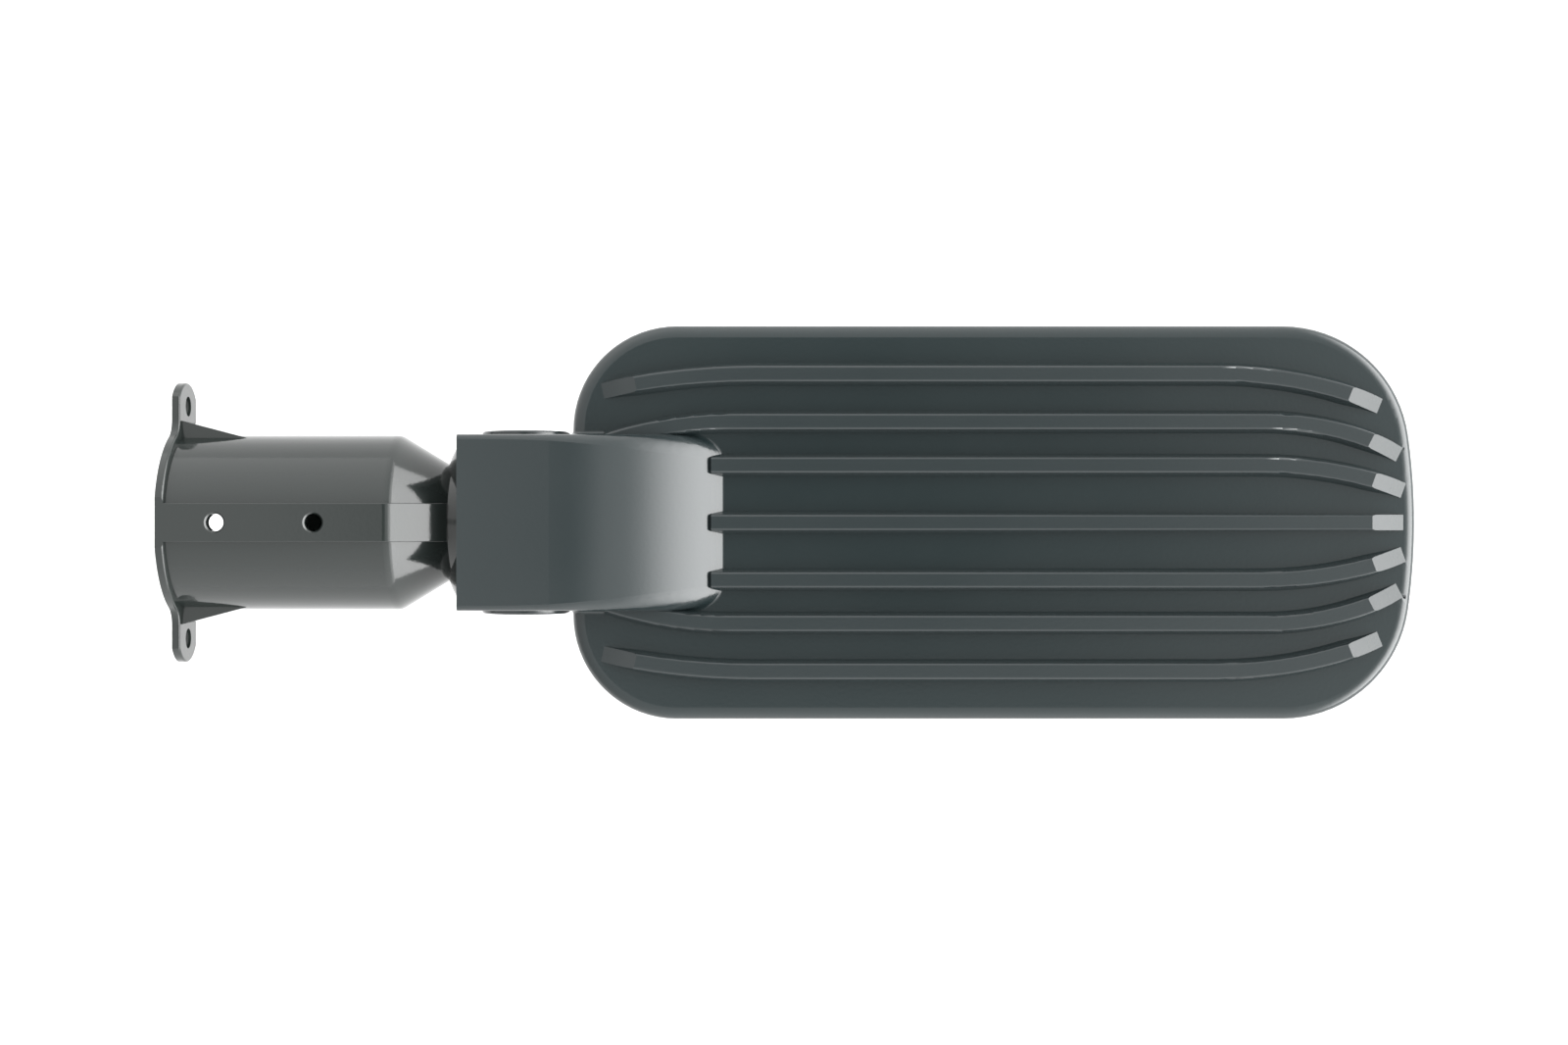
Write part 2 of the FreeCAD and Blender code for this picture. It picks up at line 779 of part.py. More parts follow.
def make_head_plate():
    """Drafted plate with a rounded deck edge, the base of the housing."""
    body = new_body("head_plate")
    outline = loop_sketch(body, "head_outline", "XY", [
        head_loop(0, d.head_start, d.head_left_corner)], d.deck_top)
    plate = pad(body, outline, d.deck_top - d.rim_bottom, reverse=True, taper=d.head_draft)
    top = round_edges(body, plate, lambda edge: level_at(edge, d.deck_top), d.deck_edge_round)
    round_edges(body, top, lambda edge: level_at(edge, d.rim_bottom), d.rim_edge_round)
    return body


def make_driver_box():
    """Deeper box under the arm end of the head."""
    body = new_body("driver_box")
    outline = loop_sketch(body, "box_outline", "XY", [
        bay_loop(box_start, d.box_end, box_half_width, d.head_left_corner - d.box_inset, d.box_end_corner)],
        d.box_bottom)
    pad(body, outline, d.deck_top - d.deck_wall / 2 - d.box_bottom)
    return body


def make_arm():
    """Arm block whose flat top runs into the hump, with edges that grow softer towards the deck."""
    tail = d.hump_end + d.hump_tail
    reach = tail - d.arm_flat_end
    tail_z = hump_centre_z + root(hump_radius_of_arc * hump_radius_of_arc - reach * reach)
    body = new_body("arm_side")
    side = loop_sketch(body, "arm_side_profile", "XZ", [[
        (d.arm_start + d.arm_nose_round, d.box_bottom, d.arm_nose_round), (tail, d.box_bottom),
        (tail, tail_z),
        (d.arm_flat_end, d.arm_top, hump_radius_of_arc), (d.arm_start, d.arm_top),
        (d.arm_start, d.box_bottom + d.arm_nose_round)]])
    pad(body, side, 2 * (d.arm_middle_half_width + PAST), both=True)
    section = new_body("arm_section")
    flanks = loop_sketch(section, "arm_section_profile", "YZ", [[
        (-d.arm_bottom_half_width, d.box_bottom), (d.arm_bottom_half_width, d.box_bottom),
        (d.arm_middle_half_width, 0), (d.arm_top_half_width, d.arm_top), (-d.arm_top_half_width, d.arm_top),
        (-d.arm_middle_half_width, 0)]], d.arm_start - PAST)
    pad(section, flanks, tail - d.arm_start + 2 * PAST)
    sharp = doc.addObject("Part::Common", "arm_sharp")
    sharp.Base = body
    sharp.Tool = section
    doc.recompute()
    soft = doc.addObject("Part::Fillet", "arm_soft")
    soft.Base = sharp
    soft.Edges = arm_edge_radii(sharp.Shape, 1) + arm_edge_radii(sharp.Shape, -1)
    doc.recompute()
    return soft


def is_arm_top_edge(edge, side):
    """Tell whether an edge is one of the long edges between the arm's top and one of its sides."""
    box = edge.BoundBox
    inside = d.arm_top_half_width / 2
    return box.XLength > PAST and box.ZMin > 0 and min(box.YMin * side, box.YMax * side) > inside


def arm_edge_radii(shape, side):
    """List one side's top edges with their two radii, all in the direction of the first edge."""
    chain = [(number, edge) for number, edge in enumerate(shape.Edges, start=1)
             if is_arm_top_edge(edge, side)]
    first = chain[0][1]
    onward = first.valueAt(first.FirstParameter).x < first.valueAt(first.LastParameter).x
    rows = []
    for number, edge in chain:
        flat = near(edge.BoundBox.ZLength, 0)
        near_end = d.arm_edge_round_start if flat else d.arm_edge_round_middle
        far_end = d.arm_edge_round_middle if flat else d.arm_edge_round_end
        pair = (near_end, far_end) if onward else (far_end, near_end)
        rows.append((number, float(pair[0]), float(pair[1])))
    return rows


def rib_section():
    """Tapered rib section with rounded top corners, square to X, standing on the deck."""
    base = float(d.rib_base_width) / 2
    top = float(d.rib_top_width) / 2
    height = float(d.rib_height)
    sink = float(d.rib_sink)
    low = base + (base - top) * sink / height
    corners = [(-low, -sink), (low, -sink), (top, height), (-top, height)]
    points = [FreeCAD.Vector(0, y, z) for y, z in corners]
    lean = math.atan2(height, base - top)
    radius = float(d.rib_edge_round)
    cutback = radius / math.tan((math.pi - lean) / 2)
    right_low = FreeCAD.Vector(0, top + cutback * math.cos(lean), height - cutback * math.sin(lean))
    right_top = FreeCAD.Vector(0, top - cutback, height)
    middle_angle = (math.pi - lean) / 2
    centre = FreeCAD.Vector(0, top - cutback, height - radius)
    bend = centre + FreeCAD.Vector(0, math.cos(middle_angle) * radius, math.sin(middle_angle) * radius)
    left_low = FreeCAD.Vector(0, -right_low.y, right_low.z)
    left_top = FreeCAD.Vector(0, -right_top.y, height)
    left_bend = FreeCAD.Vector(0, -bend.y, bend.z)
    edges = [
        Part.makeLine(points[0], points[1]),
        Part.makeLine(points[1], right_low),
        Part.Arc(right_low, bend, right_top).toShape(),
        Part.makeLine(right_top, left_top),
        Part.Arc(left_top, left_bend, left_low).toShape(),
        Part.makeLine(left_low, points[0]),
    ]
    return Part.Wire(edges)


def rib_path(offset, start, start_run, start_radius, end, end_run, end_radius):
    """Centre line of a rib on the deck: a straight run whose ends may curve in towards the middle."""
    height = float(d.deck_top)
    y = float(offset)
    left, right = float(start), float(end)
    edges = []
    if start_run:
        left = float(start + start_run)
        lead = math.asin(start_run / start_radius)
        edges.append(rib_bend(left, y, height, float(start_radius), -lead, 0))
    if end_run:
        right = float(end - end_run)
    edges.append(Part.makeLine(FreeCAD.Vector(left, y, height), FreeCAD.Vector(right, y, height)))
    if end_run:
        tail = math.asin(end_run / end_radius)
        edges.append(rib_bend(right, y, height, float(end_radius), 0, tail))
    return Part.Wire(edges)


def rib_bend(x, y, z, radius, first, last):
    """Arc that bends inwards from (x, y), between two turns from the straight run."""
    def at(angle):
        return FreeCAD.Vector(x + radius * math.sin(angle), y - radius * (1 - math.cos(angle)), z)
    return Part.Arc(at(first), at((first + last) / 2), at(last)).toShape()


def ramp_tool(tip, heading):
    """Prism that shaves a rib's end into a ramp which reaches the deck at the tip."""
    length = float(d.rib_ramp_length)
    height = float(d.rib_height)
    slope = height / length
    reach = length / 3
    corners = [(reach, -slope * reach), (-length, height), (-length, 2 * height), (reach, 2 * height)]
    points = [FreeCAD.Vector(along, -2 * height, up) for along, up in corners]
    prism = Part.Face(Part.makePolygon(points + points[:1])).extrude(FreeCAD.Vector(0, 4 * height, 0))
    prism.Placement = FreeCAD.Placement(tip, FreeCAD.Rotation(Z_AXIS, heading))
    return prism


def corner_tool():
    """What has to be cut from the near end of a rib on the hump to round its two corners."""
    half = float(d.rib_base_width / 2 + d.rib_tool_past)
    radius = float(d.rib_end_round)
    low = -2 * float(d.rib_sink)
    tall = 3 * float(d.rib_height)
    box = Part.makeBox(4 * radius, 2 * half, tall, FreeCAD.Vector(0, -half, low))
    corners = [edge for edge in box.Edges if near(edge.BoundBox.XMax, 0) and edge.BoundBox.ZLength > radius]
    wide = Part.makeBox(2 * radius, 4 * half, tall, FreeCAD.Vector(-radius / 2, -2 * half, low))
    return wide.cut(box.makeFillet(radius, corners))


def make_rib(offset, start, start_run, start_radius, end, end_run, end_radius):
    """Sweep the rib section along its path and ramp or round its ends."""
    path = rib_path(offset, start, start_run, start_radius, end, end_run, end_radius)
    first = path.Edges[0]
    tangent = first.tangentAt(first.FirstParameter)
    heading = math.degrees(math.atan2(tangent.y, tangent.x))
    section = rib_section()
    section.Placement = FreeCAD.Placement(path.OrderedVertexes[0].Point, FreeCAD.Rotation(Z_AXIS, heading))
    rib = path.makePipeShell([section], True, False)
    last = path.Edges[-1]
    tangent = last.tangentAt(last.LastParameter)
    rib = rib.cut(ramp_tool(path.OrderedVertexes[-1].Point, math.degrees(math.atan2(tangent.y, tangent.x))))
    return rib, heading


def make_ribs():
    """Seven cooling ribs: the outer four bow at both ends and the inner three start on the hump."""
    shapes = []
    inner_start = d.hump_end - d.rib_hump_overlap
    inner_end = d.head_end - d.inner_rib_end_gap
    centre, _ = make_rib(0, inner_start, None, None, inner_end, None, None)
    inner, _ = make_rib(d.inner_rib_offset, inner_start, None, None, inner_end, d.inner_rib_end_run,
                        d.inner_rib_end_radius)
    for rib, offset in ((centre, 0.0), (inner, float(d.inner_rib_offset))):
        tool = corner_tool()
        tool.translate(FreeCAD.Vector(float(inner_start), offset, float(d.deck_top)))
        shapes.append(rib.cut(tool))
    middle, _ = make_rib(d.middle_rib_offset, d.head_start + d.middle_rib_start_gap, d.middle_rib_start_run,
                         d.middle_rib_start_radius, d.head_end - d.middle_rib_end_gap, d.middle_rib_end_run,
                         d.middle_rib_end_radius)
    outer, heading = make_rib(d.outer_rib_offset, d.head_start + d.outer_rib_start_gap, d.outer_rib_start_run,
                              d.outer_rib_start_radius, d.head_end - d.outer_rib_end_gap, d.outer_rib_end_run,
                              d.outer_rib_end_radius)
    drop = d.outer_rib_start_radius - root(d.outer_rib_start_radius * d.outer_rib_start_radius
                                           - d.outer_rib_start_run * d.outer_rib_start_run)
    tip = FreeCAD.Vector(float(d.head_start + d.outer_rib_start_gap), float(d.outer_rib_offset - drop),
                         float(d.deck_top))
    outer = outer.cut(ramp_tool(tip, heading + 180))
    shapes += [middle, outer]
    mirrored = [shape.mirror(FreeCAD.Vector(), Y_AXIS) for shape in shapes[1:]]
    return [feature_of(f"rib_{number}", shape) for number, shape in enumerate(shapes + mirrored, start=1)]


def make_bosses():
    """Round bosses on both cheeks round the tilt bolt."""
    body = new_body("cheek_bosses")
    disc = circle_sketch(body, "boss_circle", "XZ", [(pivot_x, 0, d.boss_radius)])
    across = pad(body, disc, 2 * boss_face, both=True)
    round_edges(body, across, lambda edge: near(abs(edge.CenterOfMass.y), boss_face)
                and round_of(edge, d.boss_radius), d.boss_chamfer, "Chamfer")
    return body


def cover_screw_places():
    """Places of the cover screws and their posts, in from the box wall."""
    inset = d.cover_screw_inset
    half = box_half_width - inset
    middle = (bay_start + bay_end) / 2 + d.middle_post_shift
    places = []
    for side in (1, -1):
        places.append((bay_start + 2 * inset, side * (half - d.corner_post_inset)))
        places.append((middle, side * half))
        places.append((d.box_end - inset - d.end_post_inset, side * half))
    return places


def lens_screw_places():
    """Places of the lens screws along the middle of the ledge."""
    middle = d.led_wall + d.ledge_width / 2
    side_y = d.head_half_width - middle
    first = led_start + d.ledge_width / 2
    last = d.head_end - middle - d.lens_screw_bow_inset
    pitch = (last - d.lens_screw_finish - first - d.lens_screw_start) / 3
    places = []
    for side in (1, -1):
        for step in range(4):
            places.append((first + d.lens_screw_start + pitch * step, side * side_y))
        places.append((first, side * d.lens_end_screw_offset))
        places.append((last, side * d.lens_end_screw_offset))
    return places


def board_loop():
    """Outline of the LED board inside the ledge."""
    inset = d.led_wall + d.ledge_width + d.board_gap
    return head_loop(inset, led_start + d.ledge_width + d.board_gap, d.bay_right_corner)


def led_places():
    """Centres of the light sources, in rows and columns."""
    middle = (led_start + d.board_gap + d.head_end - d.led_wall) / 2 - d.dome_shift
    columns = [middle + d.dome_pitch_x * (column - (LED_COLUMNS - 1) / 2) for column in range(LED_COLUMNS)]
    rows = [d.dome_pitch_y * (row - (LED_ROWS - 1) / 2) for row in range(LED_ROWS)]
    return [(x, y) for x in columns for y in rows]


def board_screw_places():
    """Places of the board screws between the light sources, each under an inner rib."""
    first_x = led_places()[0][0]
    return [(first_x + d.dome_pitch_x * column, side * d.inner_rib_offset)
            for column in (0.5, 3.5, 6.5) for side in (1, -1)]


def driver_screw_places():
    """Places of the two driver screws, in its end tabs."""
    x = d.driver_start + d.driver_width / 2
    y = driver_half_length + d.tab_length / 2
    return [(x, y), (x, -y)]


def fitting_screw_places():
    """Places of the terminal block's and the surge protector's screws."""
    y = fitting_outer_y + d.tab_length / 2
    return [(d.fitting_start + d.terminal_width / 2, y), (d.fitting_start + d.surge_width / 2, -y)]


def earth_place():
    """Place of the earth screw beside the terminal block."""
    x = d.fitting_start + d.terminal_width + d.seat_boss_radius + d.earth_gap
    return (x, fitting_inner_y + d.fitting_length / 2)


def breather_x():
    """Place of the breather along the box, just before its middle post."""
    post_x, _ = cover_screw_places()[1]
    return post_x - d.post_radius - d.breather_head_radius - d.breather_to_post


def circles_at(places, radius):
    """Give each place the same radius."""
    return [(x, y, radius) for x, y in places]


def make_housing():
    """Main casting: plate, ribs, arm, bosses and box in one piece, hollowed from below."""
    core = fuse("housing_core", [make_head_plate(), make_driver_box(), make_arm()])
    blended = doc.addObject("Part::Fillet", "arm_foot")
    blended.Base = core
    blended.Edges = [(number, float(d.arm_foot_round), float(d.arm_foot_round))
                     for number, edge in enumerate(core.Shape.Edges, start=1) if is_arm_foot_edge(edge)]
    doc.recompute()
    outside = fuse("housing_outside", [blended, make_bosses()] + make_ribs())
    body = new_body("housing")
    body.BaseFeature = outside
    doc.recompute()
    cut_fork(body)
    cut_driver_bay(body)
    cut_led_bay(body)
    drill_housing(body)
    return body


def is_arm_foot_edge(edge):
    """Tell whether an edge lies on the deck where the arm and its hump stand on it."""
    box = edge.BoundBox
    beside_arm = max(abs(box.YMin), abs(box.YMax)) < d.arm_middle_half_width
    return level_at(edge, d.deck_top) and beside_arm and box.XMax < d.hump_end + PAST


def cut_fork(body):
    """Open the arm for the knuckle drum and for the neck's swing down to a right angle."""
    mouth = d.neck_radius + d.neck_swing_gap
    mouth_z = -root(cavity_radius * cavity_radius - mouth * mouth)
    fork = loop_sketch(body, "fork_profile", "XZ", [[
        (d.arm_start - PAST, d.box_bottom - PAST), (pivot_x + mouth, d.box_bottom - PAST),
        (pivot_x + mouth, mouth_z), (pivot_x + cavity_radius, 0, cavity_radius),
        (pivot_x, cavity_radius, cavity_radius), (d.arm_start - PAST, cavity_radius)]])
    pocket(body, fork, 2 * fork_half_width, both=True)
    seat = boss_face - d.bolt_head_height
    through = circle_sketch(body, "cheek_bolt_hole", "XZ", [
        (pivot_x, 0, d.bolt_diameter / 2 + d.bolt_running_gap)])
    pocket(body, through, 2 * (boss_face + PAST), both=True)
    head = circle_sketch(body, "bolt_head_recess", "XZ",
                         [(pivot_x, 0, d.bolt_head_radius + d.hole_slack)], -boss_face - PAST)
    pocket(body, head, boss_face + PAST - seat, reverse=True)
    nut = loop_sketch(body, "nut_recess", "XZ", [hexagon_loop(pivot_x, 0, d.nut_across / 2 + d.nut_slack)],
                      boss_face + PAST)
    pocket(body, nut, d.nut_height + d.nut_sink + PAST)


def hexagon_loop(u, v, half_across):
    """Hexagon of a half width across flats, with corners up and down."""
    side = half_across * 2 / math.sqrt(3)
    return [(u + side * math.sin(math.radians(60 * step)), v + side * math.cos(math.radians(60 * step)))
            for step in range(6)]


def cut_driver_bay(body):
    """Hollow the driver box and the hump, then add screw pillars, seats and the gland boss."""
    bay = loop_sketch(body, "driver_bay", "XY", [
        bay_loop(bay_start, bay_end, bay_half_width, d.bay_left_corner, d.bay_right_corner)],
        d.box_bottom - PAST)
    pocket(body, bay, deck_bottom - d.box_bottom + PAST, reverse=True)
    inner = hump_radius_of_arc - d.arm_roof
    low = deck_bottom - PAST
    far = d.arm_flat_end + root(inner * inner - (low - hump_centre_z) * (low - hump_centre_z))
    top = hump_centre_z + root(inner * inner - (bay_start - d.arm_flat_end) * (bay_start - d.arm_flat_end))
    hump = loop_sketch(body, "hump_hollow", "XZ", [[(bay_start, low), (far, low), (bay_start, top, inner)]])
    pocket(body, hump, 2 * d.hump_hollow_half_width, both=True)
    pillars = circle_sketch(body, "cover_pillars", "XY", circles_at(cover_screw_places(), d.post_radius),
                            cover_top)
    pad(body, pillars, d.deck_top - d.deck_wall / 2 - cover_top)
    seats = driver_screw_places() + fitting_screw_places() + [earth_place()]
    bosses = circle_sketch(body, "seat_bosses", "XY", circles_at(seats, d.seat_boss_radius),
                           deck_bottom - d.seat_boss_height)
    pad(body, bosses, d.seat_boss_height + d.deck_wall / 2)
    gland = circle_sketch(body, "gland_boss", "YZ", [(0, -d.gland_drop, d.gland_boss_radius)],
                          bay_start - d.fork_wall / 2)
    pad(body, gland, d.gland_boss_length + d.fork_wall / 2)


def cut_led_bay(body):
    """Recess for the lens plate, with a ledge round the deeper seat of the LED board."""
    recess = loop_sketch(body, "lens_recess", "XY", [head_loop(d.led_wall, led_start, d.led_left_corner)],
                         d.rim_bottom - PAST)
    pocket(body, recess, ledge_bottom - d.rim_bottom + PAST, reverse=True)
    seat = loop_sketch(body, "board_recess", "XY", [
        head_loop(d.led_wall + d.ledge_width, led_start + d.ledge_width, d.led_left_corner / 2)],
        d.rim_bottom)
    pocket(body, seat, deck_bottom - d.rim_bottom, reverse=True)


def drill_housing(body):
    """Drill every screw hole from below, the gland and wire ways and the breather hole."""
    thread = d.screw_diameter / 2 + d.thread_slack
    drills = [
        ("cover_screw_holes", cover_screw_places(), thread, cover_top, d.cover_screw_depth),
        ("lens_screw_holes", lens_screw_places(), thread, ledge_bottom, d.ledge_height),
        ("board_screw_holes", board_screw_places(), d.board_screw_diameter / 2 + d.thread_slack, deck_bottom,
         d.deck_wall + d.board_screw_past),
        ("seat_screw_holes", driver_screw_places() + fitting_screw_places() + [earth_place()], thread,
         deck_bottom - d.seat_boss_height, d.seat_boss_height + d.deck_wall - d.seat_roof),
    ]
    for name, places, radius, level, depth in drills:
        pocket(body, circle_sketch(body, name, "XY", circles_at(places, radius), level), depth, reverse=True)
    gland = circle_sketch(body, "gland_hole", "YZ", [(0, -d.gland_drop, d.gland_thread / 2 + d.thread_slack)],
                          pivot_x + cavity_radius / 2)
    pocket(body, gland, cavity_radius, reverse=True)
    wire = circle_sketch(body, "wire_hole", "YZ", [(0, deck_bottom - d.wire_drop, d.grommet_hole / 2)],
                         bay_end - PAST)
    pocket(body, wire, led_start + d.ledge_width - bay_end + 2 * PAST, reverse=True)
    breather = circle_sketch(body, "breather_hole", "XZ", [
        (breather_x(), -d.breather_drop, d.breather_hole / 2)], -box_half_width - PAST)
    pocket(body, breather, d.box_wall + 2 * PAST, reverse=True)


# Tilt joint hardware

def make_tilt_bolt():
    """Low-headed bolt through both cheeks and the drum, its end flush with the nut."""
    body = new_body("tilt_bolt")
    seat = boss_face - d.bolt_head_height
    end = d.nut_sink - boss_face
    radius = d.bolt_diameter / 2
    corner = d.bolt_head_round
    profile = loop_sketch(body, "bolt_profile", "XY", [[
        (0, boss_face), (d.bolt_head_radius - corner, boss_face),
        (d.bolt_head_radius, boss_face - corner, -corner), (d.bolt_head_radius, seat), (radius, seat),
        (radius, end + d.bolt_tip_chamfer), (radius - d.bolt_tip_chamfer, end), (0, end)]])
    turn("Revolution", body, profile, "V_Axis")
    socket = loop_sketch(body, "bolt_socket", "XZ", [
        hexagon_loop(0, 0, d.bolt_socket_across / 2)], -boss_face)
    pocket(body, socket, d.bolt_socket_depth)
    return place(body, pivot_x)


def make_tilt_nut():
    """Thin nut held in the far cheek's hexagonal recess."""
    body = new_body("tilt_nut")
    flats = loop_sketch(body, "nut_flats", "XZ", [
        hexagon_loop(0, 0, d.nut_across / 2)], boss_face - d.nut_sink)
    pad(body, flats, d.nut_height, reverse=True)
    hole = circle_sketch(body, "nut_thread", "XZ", [
        (0, 0, d.bolt_diameter / 2 + d.thread_slack)], boss_face + PAST)
    pocket(body, hole, d.nut_height + 2 * PAST)
    return place(body, pivot_x)


# Small screws

def make_screw(name, radius, length, head_radius, head_height, socket_across, socket_depth):
    """Pan-head screw that points up from its seat at the origin."""
    body = new_body(name)
    tip = radius / 4
    edge = head_height / 3
    profile = loop_sketch(body, f"{name}_profile", "XZ", [[
        (0, -head_height), (head_radius - edge, -head_height), (head_radius, edge - head_height, edge),
        (head_radius, 0), (radius, 0), (radius, length - tip), (radius - tip, length), (0, length)]])
    turn("Revolution", body, profile, "V_Axis")
    socket = loop_sketch(body, f"{name}_socket", "XY", [hexagon_loop(0, 0, socket_across / 2)], -head_height)
    pocket(body, socket, socket_depth, reverse=True)
    return body


def screw_group(label, master, places, level):
    """Copies of one screw at their places, their heads seated at a level."""
    copies = []
    for number, (x, y) in enumerate(places, start=1):
        copy = doc.addObject("App::Link", f"{label}_{number}")
        copy.LinkedObject = master
        copies.append(place(copy, x, y, level))
    return group(label, copies)


def make_screws():
    """Every small screw, in one group for each job."""
    head = (d.screw_head_radius, d.screw_head_height, d.screw_socket_across, d.screw_socket_depth)
    radius = d.screw_diameter / 2
    spare = d.screw_hole_spare
    cover = make_screw("cover_screw", radius, d.cover_thickness + d.cover_screw_depth - 2 * spare, *head)
    lens = make_screw("lens_screw", radius, lens_screw_grip + d.ledge_height - spare, *head)
    seat = make_screw("seat_screw", radius, d.tab_thickness + d.seat_boss_height, *head)
    board = make_screw("board_screw", d.board_screw_diameter / 2, d.board_thickness + d.deck_wall,
                       d.board_screw_head_radius, d.board_screw_head_height, d.board_screw_socket_across,
                       d.board_screw_socket_depth)
    seat_level = deck_bottom - d.seat_boss_height - d.tab_thickness
    terminal_place, surge_place = fitting_screw_places()
    return [
        screw_group("cover_screws", cover, cover_screw_places(), cover_bottom),
        screw_group("lens_screws", lens, lens_screw_places(), lens_bottom),
        screw_group("board_screws", board, board_screw_places(), deck_bottom - d.board_thickness),
        screw_group("driver_screws", seat, driver_screw_places(), seat_level),
        screw_group("terminal_screw", seat, [terminal_place], seat_level),
        screw_group("surge_screw", seat, [surge_place], seat_level),
        screw_group("earth_screw", seat, [earth_place()],
                    deck_bottom - d.seat_boss_height - d.earth_washer_thickness),
    ]


# LED side

def make_led_board():
    """Metal-core board that lies against the deck and carries the light sources."""
    body = new_body("led_board")
    plate = loop_sketch(body, "board_outline", "XY", [board_loop()], deck_bottom)
    pad(body, plate, d.board_thickness, reverse=True)
    holes = circle_sketch(body, "board_holes", "XY", circles_at(
        board_screw_places(), d.board_screw_diameter / 2 + d.hole_slack / 2), deck_bottom + PAST)
    pocket(body, holes, d.board_thickness + 2 * PAST)
    return body


def make_led_chips():
    """Light sources in rows on the board, one under each dome."""
    top = deck_bottom - d.board_thickness
    chips = [block(f"led_chip_{number}", (x - d.chip_length / 2, y - d.chip_width / 2, top - d.chip_height),
                   (d.chip_length, d.chip_width, d.chip_height))
             for number, (x, y) in enumerate(led_places(), start=1)]
    return group("led_chips", chips)


def make_lens_gasket():
    """Silicone ring between the ledge and the lens plate."""
    body = new_body("lens_gasket")
    inner = d.led_wall + d.ledge_width
    width = d.lens_gasket_width
    start_corner = d.led_left_corner / 2
    ring = loop_sketch(body, "gasket_ring", "XY", [
        head_loop(inner - width, led_start + d.ledge_width - width, start_corner + width),
        head_loop(inner, led_start + d.ledge_width, start_corner)], ledge_bottom)
    pad(body, ring, d.lens_gasket_thickness, reverse=True)
    return body


def make_lens_plate():
    """Clear moulding with a shallow dome below each light source."""
    body = new_body("lens_plate")
    outline = head_loop(d.led_wall + d.lens_gap, led_start + d.lens_gap, d.led_left_corner - d.lens_gap)
    plate = loop_sketch(body, "lens_outline", "XY", [outline], lens_top)
    pad(body, plate, d.lens_thickness, reverse=True)
    holes = circle_sketch(body, "lens_holes", "XY", circles_at(
        lens_screw_places(), d.screw_diameter / 2 + d.hole_slack / 2), lens_top + PAST)
    pocket(body, holes, d.lens_thickness + 2 * PAST)
    x, y = led_places()[0]
    bulge = (d.dome_radius * d.dome_radius + d.dome_height * d.dome_height) / (2 * d.dome_height)
    rise = bulge - d.dome_height - d.dome_sink
    edge = root(bulge * bulge - rise * rise)
    dome = loop_sketch(body, "dome_profile", "XZ", [[
        (x, lens_bottom - d.dome_height), (x + edge, lens_bottom + d.dome_sink, bulge),
        (x, lens_bottom + d.dome_sink)]], -y)
    cap = body.newObject("PartDesign::Revolution", "first_dome")
    cap.Profile = dome
    cap.ReferenceAxis = (dome, ["Edge1"])
    cap.Angle = 360
    doc.recompute()
    spread(body, cap, (d.dome_pitch_x, LED_COLUMNS), (d.dome_pitch_y, LED_ROWS))
    return body


def spread(body, seed, columns, rows):
    """Repeat a feature over a grid of columns along X and rows along Y."""
    grid = body.newObject("PartDesign::MultiTransform", f"{seed.Name}_grid")
    grid.Originals = [seed]
    steps = []
    for role, (pitch, count) in (("X_Axis", columns), ("Y_Axis", rows)):
        line = next(item for item in body.Origin.OriginFeatures if item.Role == role)
        step = body.newObject("PartDesign::LinearPattern", f"{seed.Name}_along_{role[0].lower()}")
        step.Direction = (line, [""])
        bind(step, "Length", pitch * (count - 1))
        step.Occurrences = count
        steps.append(step)
    grid.Transformations = steps
    body.Tip = grid
    doc.recompute()
    return grid


# Driver side

def make_driver_cover():
    """Door under the driver box, seated on the pillars and the gasket."""
    body = new_body("driver_cover")
    inset = d.cover_inset
    outline = bay_loop(box_start + inset, d.box_end - inset, box_half_width - inset,
                       d.head_left_corner - d.box_inset - inset, d.box_end_corner - inset)
    plate = loop_sketch(body, "cover_outline", "XY", [outline], cover_top)
    slab = pad(body, plate, d.cover_thickness, reverse=True)
    round_edges(body, slab, lambda edge: level_at(edge, cover_bottom), d.cover_edge_round)
    holes = circle_sketch(body, "cover_holes", "XY", circles_at(
        cover_screw_places(), d.screw_diameter / 2 + d.hole_slack / 2), cover_top + PAST)
    pocket(body, holes, d.cover_thickness + 2 * PAST)
    return body


def make_cover_gasket():
    """Silicone ring between the driver box wall and its door."""
    body = new_body("cover_gasket")
    near_side = d.gasket_setback
    far_side = near_side + d.gasket_width
    ring = loop_sketch(body, "cover_gasket_ring", "XY", [
        bay_loop(bay_start - far_side, bay_end + far_side, bay_half_width + far_side,
                 d.bay_left_corner + far_side, d.bay_right_corner + far_side),
        bay_loop(bay_start - near_side, bay_end + near_side, bay_half_width + near_side,
                 d.bay_left_corner + near_side, d.bay_right_corner + near_side)], d.box_bottom)
    pad(body, ring, d.post_rise, reverse=True)
    return body


def box_loop(x, y, width, length):
    """Plain rectangle from its low corner."""
    return [(x, y), (x + width, y), (x + width, y + length), (x, y + length)]


def make_driver():
    """Sealed power supply laid across the bay, with a screw tab at each end."""
    body = new_body("driver")
    top = deck_bottom - d.seat_boss_height
    half = driver_half_length
    case = loop_sketch(body, "driver_case", "XY", [
        box_loop(d.driver_start, -half, d.driver_width, 2 * half)], top)
    solid = pad(body, case, d.driver_height, reverse=True)
    round_edges(body, solid, lambda edge: edge.BoundBox.ZLength > 1 or level_at(edge, top - d.driver_height),
                d.driver_corner)
    tabs = loop_sketch(body, "driver_tabs", "XY", [
        box_loop(d.driver_start + d.driver_width / 4, -half - d.tab_length, d.driver_width / 2,
                 2 * half + 2 * d.tab_length)], top)
    pad(body, tabs, d.tab_thickness, reverse=True)
    holes = circle_sketch(body, "driver_holes", "XY", circles_at(
        driver_screw_places(), d.screw_diameter / 2 + d.hole_slack / 2), top + PAST)
    pocket(body, holes, d.tab_thickness + 2 * PAST)
    return body


